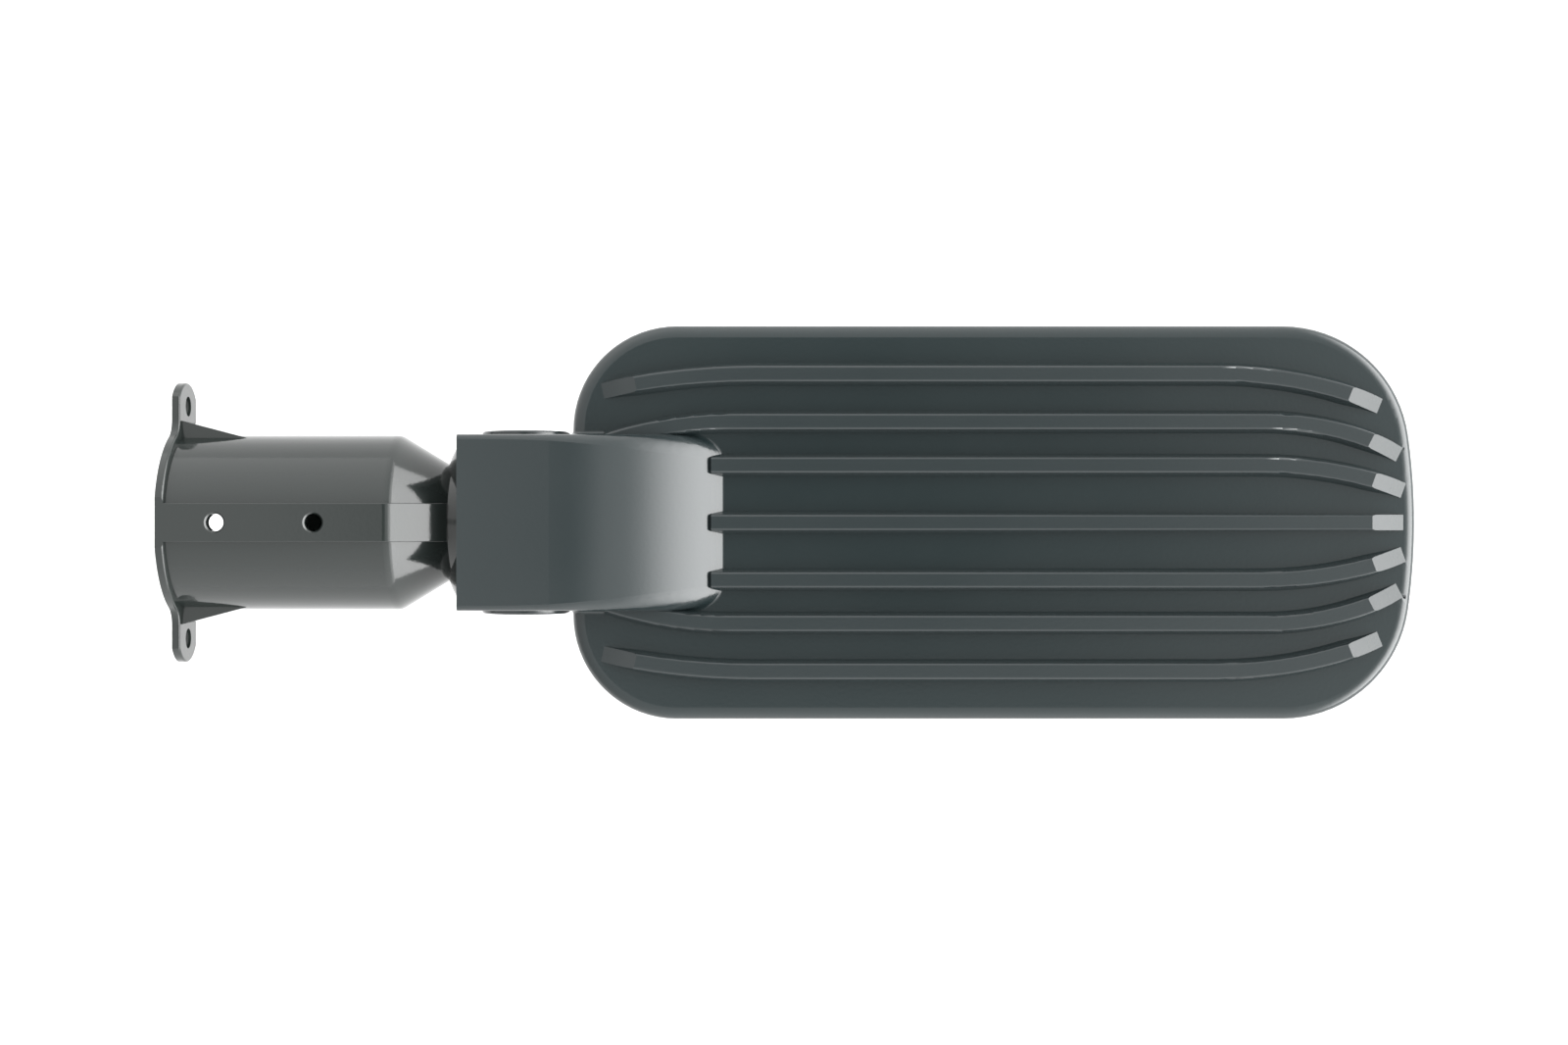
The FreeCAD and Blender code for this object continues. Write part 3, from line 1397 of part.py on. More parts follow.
def tabbed_block(label, width, height, screw, side):
    """Small fitting with one screw tab at its outer end, on the side +1 or -1 of the bay."""
    body = new_body(label)
    top = deck_bottom - d.seat_boss_height
    near_y = fitting_inner_y if side > 0 else -fitting_outer_y
    case = loop_sketch(body, f"{label}_case", "XY", [
        box_loop(d.fitting_start, near_y, width, d.fitting_length)], top)
    solid = pad(body, case, height, reverse=True)
    round_edges(body, solid, lambda edge: edge.BoundBox.ZLength > 1, d.fitting_corner)
    tab_y = fitting_outer_y - d.tab_lap if side > 0 else -fitting_outer_y - d.tab_length
    tab = loop_sketch(body, f"{label}_tab", "XY", [
        box_loop(d.fitting_start + width / 2 - d.seat_boss_radius, tab_y, 2 * d.seat_boss_radius,
                 d.tab_length + d.tab_lap)], top)
    pad(body, tab, d.tab_thickness, reverse=True)
    hole = circle_sketch(body, f"{label}_hole", "XY", circles_at(
        [screw], d.screw_diameter / 2 + d.hole_slack / 2), top + PAST)
    pocket(body, hole, d.tab_thickness + 2 * PAST)
    return body


def terminal_wells():
    """Places of the clamp screws of the terminal block, one at the middle of each pole."""
    x = d.fitting_start + d.terminal_width / 2
    pitch = d.fitting_length / TERMINAL_POLES
    return [(x, fitting_inner_y + pitch * (pole + 0.5)) for pole in range(TERMINAL_POLES)]


def make_terminal_block():
    """Terminal block with screw wells below and wire ways across."""
    body = tabbed_block("terminal_block", d.terminal_width, d.terminal_height, fitting_screw_places()[0], 1)
    low = deck_bottom - d.seat_boss_height - d.terminal_height
    wells = circle_sketch(body, "terminal_wells", "XY", circles_at(
        terminal_wells(), d.terminal_well_radius), low)
    pocket(body, wells, d.terminal_well_depth, reverse=True)
    level = low + d.terminal_height * 0.6
    ways = circle_sketch(body, "wire_ways", "YZ", [
        (y, level, d.terminal_entry / 2) for _, y in terminal_wells()], d.fitting_start - PAST)
    pocket(body, ways, d.terminal_width + 2 * PAST, reverse=True)
    return body


def make_terminal_clamp_screws():
    """Slotted clamp screws at the bottom of the terminal wells."""
    height = d.terminal_well_depth / 2
    low = deck_bottom - d.seat_boss_height - d.terminal_height + height
    radius = d.terminal_well_radius - d.thread_slack
    screws = []
    for number, (x, y) in enumerate(terminal_wells(), start=1):
        rod = cylinder(f"clamp_rod_{number}", radius, height, x, y, low)
        slot = block(f"clamp_slot_{number}",
                     (x - d.terminal_well_radius, y - d.clamp_slot_width / 2, low - PAST),
                     (2 * d.terminal_well_radius, d.clamp_slot_width, d.clamp_slot_depth + PAST))
        screws.append(cut(f"clamp_screw_{number}", rod, slot))
    return group("terminal_clamp_screws", screws)


def make_surge_protector():
    """Sealed surge protector on the other side of the bay."""
    return tabbed_block("surge_protector", d.surge_width, d.surge_height, fitting_screw_places()[1], -1)


def make_earth_washer():
    """Washer under the earth screw."""
    x, y = earth_place()
    body = new_body("earth_washer")
    ring = circle_sketch(body, "washer_ring", "XY", [
        (x, y, d.seat_boss_radius), (x, y, d.screw_diameter / 2 + d.hole_slack / 2)],
        deck_bottom - d.seat_boss_height)
    pad(body, ring, d.earth_washer_thickness, reverse=True)
    return body


# Cable gland, grommet and breather

def make_gland_body():
    """Gland body, screwed into the fork wall from inside the bay."""
    body = new_body("gland_body")
    start = pivot_x + cavity_radius + d.gland_setback
    flats = loop_sketch(body, "gland_flats", "YZ", [hexagon_loop(0, 0, d.gland_hex_across / 2)], gland_seat)
    pad(body, flats, d.gland_hex_length)
    sleeve = circle_sketch(body, "gland_sleeve", "YZ", [(0, 0, d.gland_thread / 2)], start)
    pad(body, sleeve, gland_cup + d.gland_nut_length / 2 - start)
    bore = circle_sketch(body, "gland_bore", "YZ", [(0, 0, d.gland_bore / 2)], start - PAST)
    pocket(body, bore, gland_cup - start + PAST, reverse=True)
    cup = circle_sketch(body, "gland_cup", "YZ", [(0, 0, d.gland_thread / 2 - d.gland_cup_wall)], gland_cup)
    pocket(body, cup, d.gland_nut_length, reverse=True)
    return place(body, 0, 0, -d.gland_drop)


def make_gland_seal():
    """Rubber sleeve between the gland's cup and the cable, held by the dome nut."""
    body = new_body("gland_seal")
    sleeve = circle_sketch(body, "seal_ring", "YZ", [
        (0, 0, d.gland_thread / 2 - d.gland_cup_wall), (0, 0, d.cable_diameter / 2)], gland_cup)
    pad(body, sleeve, d.gland_nut_length / 2 + d.gland_crown_gap)
    return place(body, 0, 0, -d.gland_drop)


def make_gland_dome_nut():
    """Domed nut that screws over the gland body and presses the seal."""
    body = new_body("gland_dome_nut")
    start = gland_seat + d.gland_hex_length + d.gland_nut_gap
    inner = gland_cup + d.gland_nut_length / 2 + d.gland_crown_gap
    end = start + d.gland_nut_length
    thread = d.gland_thread / 2 + d.thread_slack
    mouth = d.cable_diameter / 2 + d.gland_crown_gap
    outer = d.gland_hex_across / 2
    corner = d.gland_crown_round
    profile = loop_sketch(body, "dome_nut_profile", "XZ", [[
        (start, thread), (inner, thread), (inner, mouth), (end, mouth), (end, outer - corner),
        (end - corner, outer, corner), (start, outer)]])
    turn("Revolution", body, profile, "H_Axis")
    return place(body, 0, 0, -d.gland_drop)


def make_wire_grommet():
    """Rubber grommet where the leads pass from the driver bay to the LED board."""
    body = new_body("wire_grommet")
    flange = circle_sketch(body, "grommet_flange", "YZ", [(0, 0, d.grommet_flange_radius)], bay_end)
    pad(body, flange, d.grommet_flange, reverse=True)
    stem = circle_sketch(body, "grommet_stem", "YZ", [(0, 0, d.grommet_hole / 2 - d.thread_slack)], bay_end)
    pad(body, stem, led_start - bay_end)
    bore = circle_sketch(body, "grommet_bore", "YZ", [
        (0, 0, d.wire_bore / 2)], bay_end - d.grommet_flange - PAST)
    pocket(body, bore, led_start - bay_end + d.grommet_flange + 2 * PAST, reverse=True)
    return place(body, 0, 0, deck_bottom - d.wire_drop)


def make_breather_plug():
    """Vented plug in the side of the driver box."""
    body = new_body("breather_plug")
    head = circle_sketch(body, "breather_head", "XZ", [(0, 0, d.breather_head_radius)], -box_half_width)
    cap = pad(body, head, d.breather_head_height, reverse=True)
    round_edges(body, cap, lambda edge: near(edge.CenterOfMass.y, box_half_width + d.breather_head_height),
                d.breather_edge_round)
    stem = circle_sketch(body, "breather_stem", "XZ", [(0, 0, d.breather_hole / 2 - d.thread_slack)],
                         -box_half_width)
    pad(body, stem, d.box_wall + d.breather_stem_past)
    return place(body, breather_x(), 0, -d.breather_drop)


NODES = [
    make_adaptor(), make_housing(), make_tilt_bolt(), make_tilt_nut(),
    make_led_board(), make_led_chips(), make_lens_gasket(), make_lens_plate(),
    make_driver_cover(), make_cover_gasket(), make_driver(),
    make_terminal_block(), make_terminal_clamp_screws(), make_surge_protector(), make_earth_washer(),
    make_gland_body(), make_gland_seal(), make_gland_dome_nut(), make_wire_grommet(), make_breather_plug(),
] + make_screws()

os.makedirs("parts", exist_ok=True)
for item in doc.Objects:
    if "Invalid" in item.State or "Error" in item.State:
        raise RuntimeError(f"{item.Label} failed: {item.State}")
for node in NODES:
    shape = node.Shape
    if shape.isNull() or not shape.isValid():
        raise RuntimeError(f"{node.Label} has no sound shape")
    shape.exportStep(f"parts/{node.Label}.step")
    print(node.Label, round(shape.Volume), len(shape.Solids), len(shape.Faces), shape.BoundBox)
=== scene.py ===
"""Finishes, small pieces, light and camera for the street light head."""
import math

import bpy
import numpy as np
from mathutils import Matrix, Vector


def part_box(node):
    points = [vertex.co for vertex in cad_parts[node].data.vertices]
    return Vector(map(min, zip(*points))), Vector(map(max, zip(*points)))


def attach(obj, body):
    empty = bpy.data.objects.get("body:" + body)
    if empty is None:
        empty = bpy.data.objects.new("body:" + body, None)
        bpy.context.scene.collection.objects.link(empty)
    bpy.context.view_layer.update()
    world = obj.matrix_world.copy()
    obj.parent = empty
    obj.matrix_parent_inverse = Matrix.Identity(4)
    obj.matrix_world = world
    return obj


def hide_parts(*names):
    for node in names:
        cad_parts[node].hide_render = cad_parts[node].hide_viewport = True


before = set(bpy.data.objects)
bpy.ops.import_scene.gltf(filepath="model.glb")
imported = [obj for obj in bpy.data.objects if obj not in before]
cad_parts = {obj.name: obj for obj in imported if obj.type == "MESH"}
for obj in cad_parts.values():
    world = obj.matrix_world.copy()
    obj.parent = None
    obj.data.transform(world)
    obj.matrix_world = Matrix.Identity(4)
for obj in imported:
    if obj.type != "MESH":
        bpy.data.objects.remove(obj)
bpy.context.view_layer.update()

MM = 0.001

# The chips: the middle of the first one, and the spacing and number each way
CHIPS = {"x": 297.5 * MM, "pitch_x": 23 * MM, "columns": 8, "y": -45 * MM, "pitch_y": 30 * MM, "rows": 4}

# The drop on each chip, in millimetres, and its rings and sides
DOME = {"radius": 2.05, "height": 1.25, "rings": 9, "sides": 28}

# Ribs, in millimetres: the deck's height, half a foot's width, how far a side leans out for each
# millimetre down, and how far a ramp's bend leads beside a straight line, for the square of its length
DECK, HALF_FOOT, SIDE_LEAN, BEND = 13.0, 4.5, 0.3, 0.005

# Ramps, in millimetres: their length, and the share of the foot's width that stays at the tip
RAMP_LENGTH, TIP_SHARE = 13.5, 0.68

# Where a ramp's corner hangs over the rounded rim: how deep it goes, and how deep it is left
CORNER_DEPTH, CORNER_LEFT = 0.6, 0.06

# Slack, in millimetres, of the test whether a point belongs to a ramp: beside it and past its tip
SLACK_BESIDE, SLACK_PAST = 0.05, 0.01

# Rib ends, in millimetres: x of the tip, y before the bend, run and radius of the bend, and 1 for a
# ramp that runs down towards +X or -1 for one towards -X
MIDDLE_RIB_END = (487, 0, 0, 1, 1)
BOWED_RIB_ENDS = [
    (487, 22.6, 56.7, 165.8, 1),
    (485.4, 39.7, 53.1, 115.7, 1),
    (477.7, 58.5, 64.7, 173.4, 1),
    (170.5, 58.5, 60.1, 277.5, -1),
]


# Shader maths

class Signal:
    """One socket of a finish, on which the usual operators work."""

    def __init__(self, finish, socket):
        self.finish = finish
        self.socket = socket

    def maths(self, operation, *values):
        """Send values, this signal among them, through a Math node."""
        return self.finish.node("ShaderNodeMath", {"operation": operation}, dict(enumerate(values)))

    def __add__(self, other):
        return self.maths("ADD", self, other)

    def __sub__(self, other):
        return self.maths("SUBTRACT", self, other)

    def __mul__(self, other):
        return self.maths("MULTIPLY", self, other)

    def __truediv__(self, other):
        return self.maths("DIVIDE", self, other)

    def __pow__(self, other):
        return self.maths("POWER", self, other)

    def __abs__(self):
        return self.maths("ABSOLUTE", self)

    __radd__ = __add__
    __rmul__ = __mul__

    def above(self, low):
        """This signal, but never under a value."""
        return self.maths("MAXIMUM", self, low)

    def under(self, high):
        """This signal, but never above a value."""
        return self.maths("MINIMUM", self, high)

    def wave(self):
        """The sine of this signal."""
        return self.maths("SINE", self)

    def part(self):
        """What is left of this signal past its whole number."""
        return self.maths("FRACT", self)

    def step(self, low, high):
        """0 below low, 1 above high, and a smooth rise between; high may be the smaller."""
        settings = {"interpolation_type": "SMOOTHSTEP"}
        return self.finish.node("ShaderNodeMapRange", settings, {0: self, 1: low, 2: high, 3: 0.0, 4: 1.0})


class Finish:
    """The nodes of a material or of the world, made by one method."""

    def __init__(self, owner):
        owner.use_nodes = True
        self.owner = owner
        self.tree = owner.node_tree
        self.tree.nodes.clear()

    def node(self, kind, settings, sockets, out=0):
        """Add a node, set it up, feed its sockets and give back one output."""
        made = self.tree.nodes.new(kind)
        for key, value in settings.items():
            setattr(made, key, value)
        for key, value in sockets.items():
            if isinstance(value, Signal):
                self.tree.links.new(value.socket, made.inputs[key])
            else:
                made.inputs[key].default_value = value
        return Signal(self, made.outputs[out]) if made.outputs else None

    def place(self):
        """The point on the surface, in metres from the frame's origin."""
        return self.node("ShaderNodeTexCoord", {}, {}, "Object")

    def axes(self, place):
        """The three numbers of a point."""
        made = self.node("ShaderNodeSeparateXYZ", {}, {0: place})
        return [Signal(self, socket) for socket in made.socket.node.outputs]

    def stretched(self, place, factors):
        """A point with each of its numbers multiplied."""
        return self.node("ShaderNodeVectorMath", {"operation": "MULTIPLY"}, {0: place, 1: factors})

    def noise(self, place, size, detail=2.0, roughness=0.5):
        """Soft random spots of about a size in metres, from 0 to 1."""
        sockets = {"Vector": place, "Scale": 1.0 / size, "Detail": detail, "Roughness": roughness}
        return self.node("ShaderNodeTexNoise", {}, sockets)

    def cells(self, place, size):
        """The distance from the middle of random cells of a size in metres."""
        return self.node("ShaderNodeTexVoronoi", {}, {"Vector": place, "Scale": 1.0 / size})

    def mix(self, factor, first, second):
        """One colour turning into another."""
        return self.node("ShaderNodeMix", {"data_type": "RGBA"}, {0: factor, 6: first, 7: second}, 2)

    def relief(self, height, depth, strength):
        """A bump of a depth in metres."""
        return self.node("ShaderNodeBump", {}, {"Height": height, "Distance": depth, "Strength": strength})

    def surface(self, sockets):
        """Join the main shader to the output and give back the material."""
        shader = self.node("ShaderNodeBsdfPrincipled", {}, sockets)
        self.node("ShaderNodeOutputMaterial", {}, {"Surface": shader})
        return self.owner


def new_finish(name):
    """An empty finish of a name."""
    return Finish(bpy.data.materials.new(name))


def tone(red, green, blue):
    """A colour as a screen shows it, from 0 to 255, as the shader wants it."""
    shown = [value / 255 for value in (red, green, blue)]
    return (*(v / 12.92 if v < 0.04045 else ((v + 0.055) / 1.055) ** 2.4 for v in shown), 1.0)


# Finishes

def powder_coat(name, shaded_tone, lit_tone, gloss, low, high):
    """Powder paint on a casting with painted shade: darker in its recesses and on low faces, and lighter on
    what stands proud, as the light falls there; with clouds, orange peel and specks.
    """
    finish = new_finish(name)
    place = finish.place()
    cloud = finish.noise(place, 60 * MM, detail=3.0)
    peel = finish.noise(place, 1.3 * MM, detail=1.0)
    speck = finish.noise(place, 0.35 * MM, detail=2.0, roughness=0.7)
    # Painted shade: below the height low the colour is the shaded tone and above high the lit tone, so
    # grooves and low faces read darker and proud faces lighter; the clouds and specks add the paint's own
    # random tone.
    shade_and_mottle = finish.axes(place)[2].step(low, high) * 0.8 + cloud * 0.14 + speck * 0.06
    return finish.surface({
        "Base Color": finish.mix(shade_and_mottle, shaded_tone, lit_tone),
        "Roughness": gloss + (cloud - 0.5) * 0.08 + (speck - 0.5) * 0.10,
        "Normal": finish.relief(peel * 0.8 + speck * 0.2, depth=0.035 * MM, strength=0.6),
    })


def zinc_plate(name):
    """Zinc plate on steel: crystal cells that catch the light unevenly, and a dull haze."""
    finish = new_finish(name)
    place = finish.place()
    crystal = finish.cells(place, 1.1 * MM)
    haze = finish.noise(place, 7 * MM, detail=3.0)
    return finish.surface({
        "Base Color": finish.mix(haze, tone(150, 152, 152), tone(196, 197, 194)),
        "Metallic": 1.0,
        "Roughness": 0.30 + haze * 0.16 + crystal * 0.06,
        "Normal": finish.relief(crystal, depth=0.01 * MM, strength=0.4),
    })


def turned_steel(name):
    """Stainless screws: fine turning lines across the axis, with small dents."""
    finish = new_finish(name)
    place = finish.place()
    lines = finish.noise(finish.stretched(place, (1.0, 9.0, 1.0)), 0.5 * MM, detail=2.0)
    dent = finish.noise(place, 1.8 * MM, detail=3.0)
    return finish.surface({
        "Base Color": finish.mix(dent, tone(168, 167, 163), tone(205, 204, 200)),
        "Metallic": 1.0,
        "Roughness": 0.20 + lines * 0.14,
        "Normal": finish.relief(lines * 0.6 + dent * 0.4, depth=0.012 * MM, strength=0.5),
    })


def plain_brass(name):
    """Brass with brushed lines and a slightly browned film."""
    finish = new_finish(name)
    place = finish.place()
    lines = finish.noise(finish.stretched(place, (8.0, 1.0, 1.0)), 0.6 * MM, detail=2.0)
    film = finish.noise(place, 3 * MM, detail=3.0)
    return finish.surface({
        "Base Color": finish.mix(film, tone(196, 158, 84), tone(160, 118, 58)),
        "Metallic": 1.0,
        "Roughness": 0.22 + lines * 0.18,
        "Normal": finish.relief(lines, depth=0.01 * MM, strength=0.5),
    })


def moulded(name, first, second, gloss, grain=0.25):
    """Moulded plastic: spark-eroded grain, faint flow clouds, and a soft shine."""
    finish = new_finish(name)
    place = finish.place()
    flow = finish.noise(finish.stretched(place, (1.0, 2.5, 1.0)), 14 * MM, detail=3.0)
    spark = finish.noise(place, grain * MM, detail=2.0, roughness=0.6)
    return finish.surface({
        "Base Color": finish.mix(flow.step(0.3, 0.7), first, second),
        "Roughness": gloss + (spark - 0.5) * 0.16 + (flow - 0.5) * 0.08,
        "Normal": finish.relief(spark, depth=0.02 * MM, strength=0.6),
    })


def soft_rubber(name, first, second, gloss):
    """Silicone or rubber: a bloom of fine dust over a smooth skin."""
    finish = new_finish(name)
    place = finish.place()
    bloom = finish.noise(place, 5 * MM, detail=4.0)
    skin = finish.noise(place, 0.5 * MM, detail=2.0)
    return finish.surface({
        "Base Color": finish.mix(bloom.step(0.35, 0.75), first, second),
        "Roughness": gloss + (bloom - 0.5) * 0.2,
        "Normal": finish.relief(skin, depth=0.015 * MM, strength=0.5),
    })


def clear_lens(name, gloss):
    """Clear moulded plastic with a faint waviness."""
    finish = new_finish(name)
    place = finish.place()
    wave = finish.noise(place, 6 * MM, detail=2.0)
    return finish.surface({
        "Base Color": finish.mix(wave, tone(236, 243, 244), tone(246, 249, 249)),
        "Roughness": gloss + wave * 0.03,
        "IOR": 1.55,
        "Transmission Weight": 1.0,
        "Normal": finish.relief(wave, depth=0.02 * MM, strength=0.4),
    })


def chip_spot(finish, place, low, pitch, count):
    """How far a point is, along one axis, from the nearest of a row of evenly spaced chips."""
    inside = 0.01
    turn = ((place - low) / pitch + 0.5).under(count - inside).above(inside)
    return abs(turn.part() - 0.5) * pitch


def circuit_board(name, chips):
    """White solder mask with a pale pad about each chip, copper runs under the mask and a fine weave."""
    finish = new_finish(name)
    place = finish.place()
    x, y = finish.axes(place)[:2]
    along = chip_spot(finish, x, chips["x"], chips["pitch_x"], chips["columns"])
    across = chip_spot(finish, y, chips["y"], chips["pitch_y"], chips["rows"])
    pad_x, pad_y, edge = 3.9 * MM, 3.3 * MM, 0.2 * MM
    pad = along.step(pad_x, pad_x - edge) * across.step(pad_y, pad_y - edge)
    run = across.step(1.25 * MM, 1.1 * MM) * along.step(3.6 * MM, pad_x)
    thread = 2 * math.pi / (0.9 * MM)
    weave = (x * thread).wave() * (y * thread).wave()
    dust = finish.noise(place, 9 * MM, detail=3.0)
    mask = finish.mix(dust, tone(164, 166, 164), tone(174, 175, 172))
    traced = finish.mix(run, mask, tone(146, 150, 144))
    return finish.surface({
        "Base Color": finish.mix(pad, traced, tone(132, 130, 122)),
        "Metallic": pad * 0.7,
        "Roughness": 0.34 + dust * 0.08 - pad * 0.08,
        "Normal": finish.relief(pad * 0.5 + run + weave * 0.05, depth=0.03 * MM, strength=0.7),
    })


def phosphor_chip(name, chips):
    """White chip bodies with a round yellow window of phosphor, as wide as the drop on it."""
    finish = new_finish(name)
    place = finish.place()
    x, y = finish.axes(place)[:2]
    along = chip_spot(finish, x, chips["x"], chips["pitch_x"], chips["columns"])
    across = chip_spot(finish, y, chips["y"], chips["pitch_y"], chips["rows"])
    radius, edge = DOME["radius"] * MM, 0.1 * MM
    window = ((along * along + across * across) ** 0.5).step(radius, radius - edge)
    grain = finish.noise(place, 0.25 * MM, detail=2.0, roughness=0.6)
    phosphor = finish.mix(grain, tone(206, 160, 22), tone(218, 180, 46))
    return finish.surface({
        "Base Color": finish.mix(window, tone(196, 196, 192), phosphor),
        "Roughness": 0.42 + grain * 0.14 - window * 0.14,
        "Normal": finish.relief(grain * 0.4 - window, depth=0.04 * MM, strength=0.6),
    })


def studio_floor(name):
    """Matt white card, faintly mottled and softly lit from below."""
    finish = new_finish(name)
    mottle = finish.noise(finish.place(), 400 * MM, detail=2.0)
    card = finish.mix(mottle, tone(188, 188, 188), tone(192, 192, 192))
    return finish.surface({"Base Color": card, "Roughness": 0.9,
                           "Emission Color": card, "Emission Strength": 0.7})


# Surfaces worked out with numpy

def ring_faces(rows, columns):
    """The corners of the squares of a grid of points whose last column joins the first."""
    row = np.arange(rows - 1)[:, None]
    column = np.arange(columns)[None, :]
    beside = (column + 1) % columns
    corners = [row * columns + column, row * columns + beside]
    corners += [(row + 1) * columns + beside, (row + 1) * columns + column]
    return np.stack(np.broadcast_arrays(*corners), axis=-1).reshape(-1, 4)


def new_piece(name, points, faces, body, material):
    """Put points in millimetres and their faces into a piece that rides on a body."""
    mesh = bpy.data.meshes.new(name)
    mesh.from_pydata((points * MM).tolist(), [], faces.tolist())
    mesh.polygons.foreach_set("use_smooth", np.ones(len(mesh.polygons), dtype=bool))
    mesh.materials.append(material)
    mesh.validate()
    made = bpy.data.objects.new(name, mesh)
    bpy.context.scene.collection.objects.link(made)
    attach(made, body)


def repeated(points, faces, places):
    """The same surface once at each place, as one set of points and faces."""
    everywhere = (points[None, :, :] + places[:, None, :]).reshape(-1, 3)
    shift = (np.arange(len(places)) * len(points))[:, None, None]
    return everywhere, (faces[None, :, :] + shift).reshape(-1, faces.shape[1])


def chip_domes(chips):
    """A clear drop on each chip: height times the root of 1 minus the squared share of its radius."""
    innermost = 0.02
    share = np.sin(np.linspace(innermost, 1, DOME["rings"]) * math.pi / 2)
    angle = np.linspace(0, 2 * math.pi, DOME["sides"], endpoint=False)
    share, angle = np.meshgrid(share, angle, indexing="ij")
    reach = DOME["radius"] * share
    depth = DOME["height"] * np.sqrt(1 - share ** 2)
    points = np.stack([reach * np.cos(angle), reach * np.sin(angle), -depth], axis=-1).reshape(-1, 3)
    faces = ring_faces(DOME["rings"], DOME["sides"])[:, ::-1]
    column = chips["x"] / MM + chips["pitch_x"] / MM * np.arange(chips["columns"])
    row = chips["y"] / MM + chips["pitch_y"] / MM * np.arange(chips["rows"])
    x, y = np.meshgrid(column, row, indexing="ij")
    z = np.full(x.size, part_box("led_chips")[0][2] / MM)
    return repeated(points, faces, np.stack([x.ravel(), y.ravel(), z], axis=-1))


def rib_tip(x, y, run, radius, way):
    """Where a rib's ramp ends, in millimetres, and its direction there, for a bend of a run and radius."""
    lean = math.asin(run / radius)
    tip = (x, y - radius * (1 - math.cos(lean)))
    return np.array(tip), np.array([way * math.cos(lean), -math.sin(lean)])


def head_casting(node, tips):
    """The housing with each rib's ramp at the rib's own width, as in the photograph: from a ramp's start
    to its tip, the distance from the rib's middle line shrinks evenly to TIP_SHARE of what it was."""
    mesh = node.data.copy()
    flat = np.empty(len(mesh.vertices) * 3, dtype=np.float32)
    mesh.vertices.foreach_get("co", flat)
    points = flat.reshape(-1, 3).astype(float) / MM
    for tip, heading in tips:
        offset = points[:, :2] - tip
        beside = np.array([-heading[1], heading[0]])
        along, across = offset @ heading, offset @ beside
        passed = np.clip(1 + along / RAMP_LENGTH, 0, 1)
        depth = DECK - points[:, 2]
        side = HALF_FOOT + SLACK_BESIDE + SIDE_LEAN * depth + BEND * along ** 2
        on_ramp = (depth < CORNER_DEPTH) & (abs(across) < side) & (along < SLACK_PAST) & (passed > 0)
        points[:, :2] -= (on_ramp * across * passed * (1 - TIP_SHARE))[:, None] * beside
        points[on_ramp, 2] = np.maximum(points[on_ramp, 2], DECK - CORNER_LEFT)
    mesh.vertices.foreach_set("co", (points * MM).astype(np.float32).ravel())
    mesh.update()
    casting = bpy.data.objects.new("head_casting", mesh)
    bpy.context.scene.collection.objects.link(casting)
    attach(casting, "head")
    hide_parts("housing")


# Camera, floor and light

def make_camera():
    """Straight above, at the distance that gives the photograph's perspective."""
    data = bpy.data.cameras.new("camera")
    data.lens, data.sensor_width = 50, 36
    camera = bpy.data.objects.new("camera", data)
    camera.location = (0.2422, 0, 0.8739)
    bpy.context.scene.collection.objects.link(camera)
    bpy.context.scene.camera = camera


def make_floor():
    """A wide flat card under the lowest point that the head reaches when it hangs straight down."""
    mesh = bpy.data.meshes.new("floor")
    level = -380 * MM
    reach = 6.0
    corners = [(-reach, -reach, level), (reach, -reach, level), (reach, reach, level), (-reach, reach, level)]
    mesh.from_pydata(corners, [], [(0, 1, 2, 3)])
    mesh.materials.append(studio_floor("white_card"))
    floor = bpy.data.objects.new("floor", mesh)
    bpy.context.scene.collection.objects.link(floor)


def make_light():
    """A pale studio: a dark patch straight above, even light round it, more of it to the sides and in two
    opposite corners, and a bright free end."""
    world = bpy.data.worlds.new("studio")
    bpy.context.scene.world = world
    finish = Finish(world)
    x, y, z = finish.axes(finish.node("ShaderNodeTexCoord", {}, {}, "Generated"))
    darkest, even, free_end = 0.05, 1.4, 9.5
    patch_x, patch_y = 0.03, 0.02
    growth_x, growth_y = 20.0, 50.0
    along, across = x - patch_x, y - patch_y
    patch = (along * along * growth_x + across * across * growth_y).under(even)
    sides = y * (y * 0.8 - x * 1.2)
    strength = darkest + patch + sides + (x - z * 0.15).step(0.30, 0.86) * free_end
    sky = finish.node("ShaderNodeBackground", {}, {"Color": (1, 1, 1, 1), "Strength": strength})
    finish.node("ShaderNodeOutputWorld", {}, {"Surface": sky})


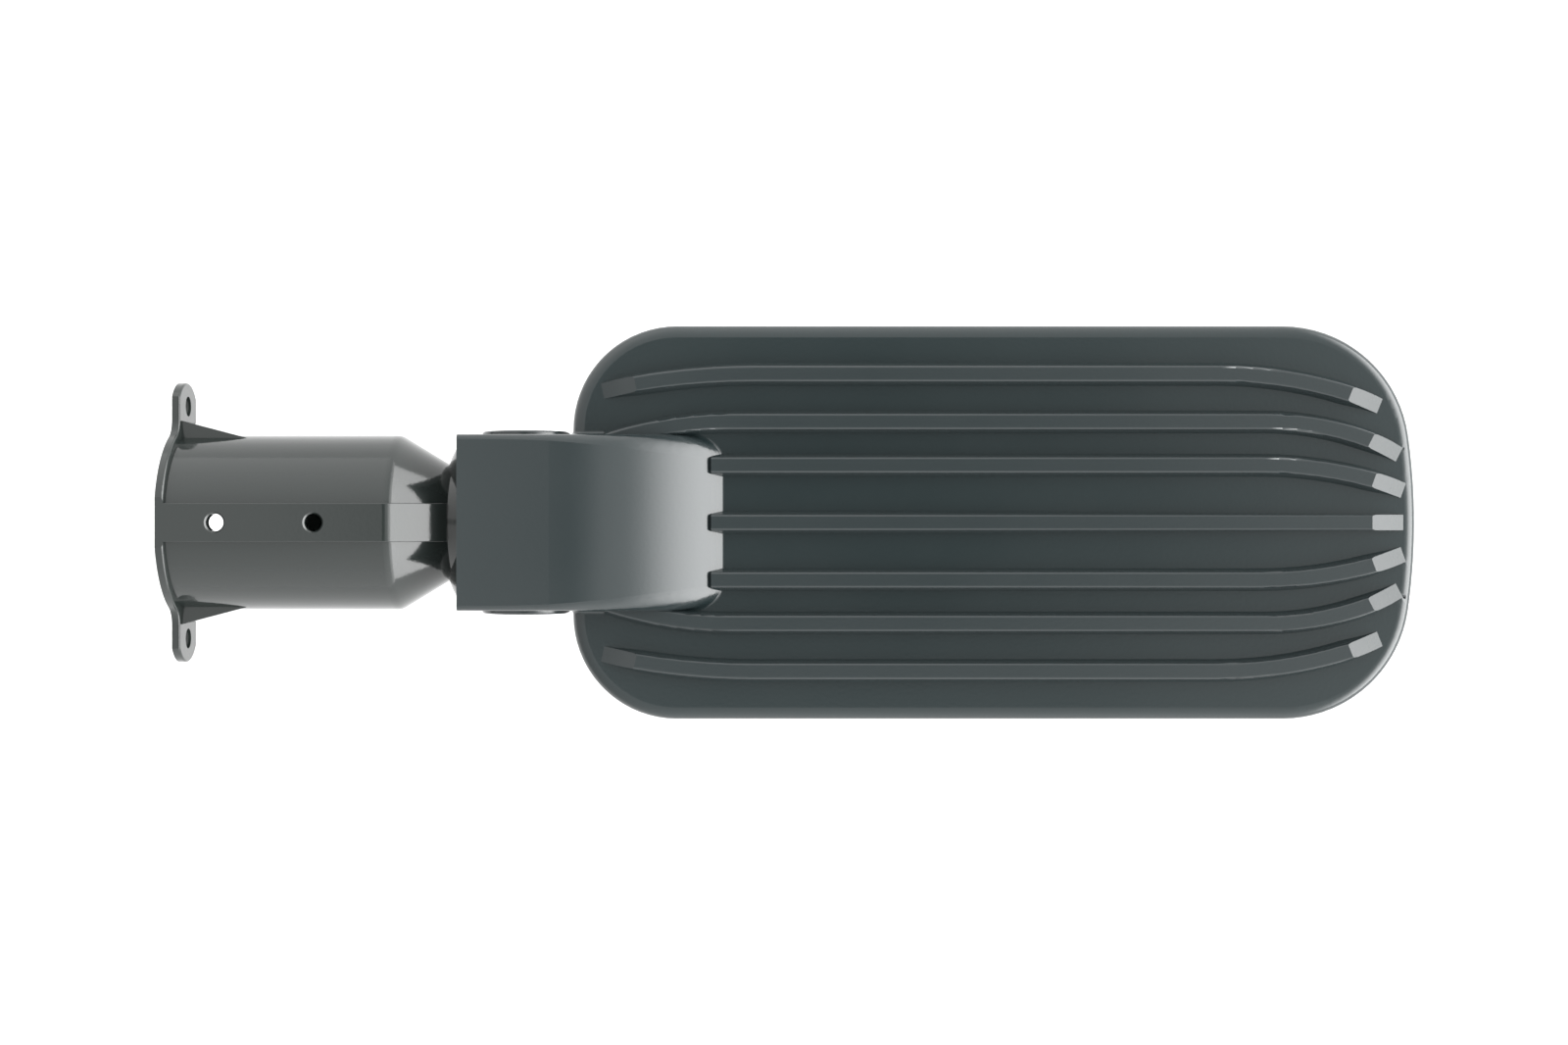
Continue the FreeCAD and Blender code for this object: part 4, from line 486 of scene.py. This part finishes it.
make_camera()
make_floor()
make_light()
bpy.context.scene.view_settings.view_transform = "Standard"

# Each paint's two tones are a painted-shade tone and a lit tone, which meet between the heights low and high.
FINISHES = {
    "adaptor": powder_coat("adaptor_paint", tone(23, 28, 26), tone(31, 35, 34),
                           gloss=0.10, low=-10 * MM, high=25 * MM),
    "housing": powder_coat("housing_paint", tone(23, 32, 33), tone(33, 39, 40),
                           gloss=0.18, low=13.5 * MM, high=17 * MM),
    "driver_cover": powder_coat("cover_paint", tone(21, 30, 31), tone(34, 40, 40),
                                gloss=0.22, low=-29 * MM, high=-31 * MM),
    "tilt_bolt tilt_nut": zinc_plate("bolt_zinc"),
    "board_screws cover_screws driver_screws earth_screw lens_screws surge_screw terminal_screw":
        turned_steel("screw_stainless"),
    "earth_washer terminal_clamp_screws": plain_brass("brass_plain"),
    "led_board": circuit_board("board_white", CHIPS),
    "led_chips": phosphor_chip("led_phosphor", CHIPS),
    "lens_plate": clear_lens("lens_clear", gloss=0.03),
    "lens_gasket cover_gasket":
        soft_rubber("silicone_grey", tone(120, 121, 120), tone(138, 139, 137), gloss=0.55),
    "gland_seal wire_grommet": soft_rubber("rubber_black", tone(22, 22, 23), tone(36, 36, 36), gloss=0.60),
    "gland_body gland_dome_nut breather_plug":
        moulded("gland_nylon", tone(38, 39, 40), tone(46, 47, 48), gloss=0.44),
    "driver": moulded("driver_case", tone(206, 207, 204), tone(216, 217, 213), gloss=0.46, grain=0.4),
    "surge_protector": moulded("surge_case", tone(58, 92, 60), tone(66, 102, 68), gloss=0.42),
    "terminal_block": moulded("terminal_nylon", tone(226, 224, 212), tone(235, 233, 222), gloss=0.40),
}
for names, material in FINISHES.items():
    for name in names.split():
        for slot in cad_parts[name].material_slots:
            slot.material = material

bowed = [rib_tip(*end) for end in BOWED_RIB_ENDS]
mirrored = [(tip * (1, -1), heading * (1, -1)) for tip, heading in bowed]
head_casting(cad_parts["housing"], [rib_tip(*MIDDLE_RIB_END)] + bowed + mirrored)

points, faces = chip_domes(CHIPS)
new_piece("chip_domes", points, faces, "head", clear_lens("chip_silicone", gloss=0.06))
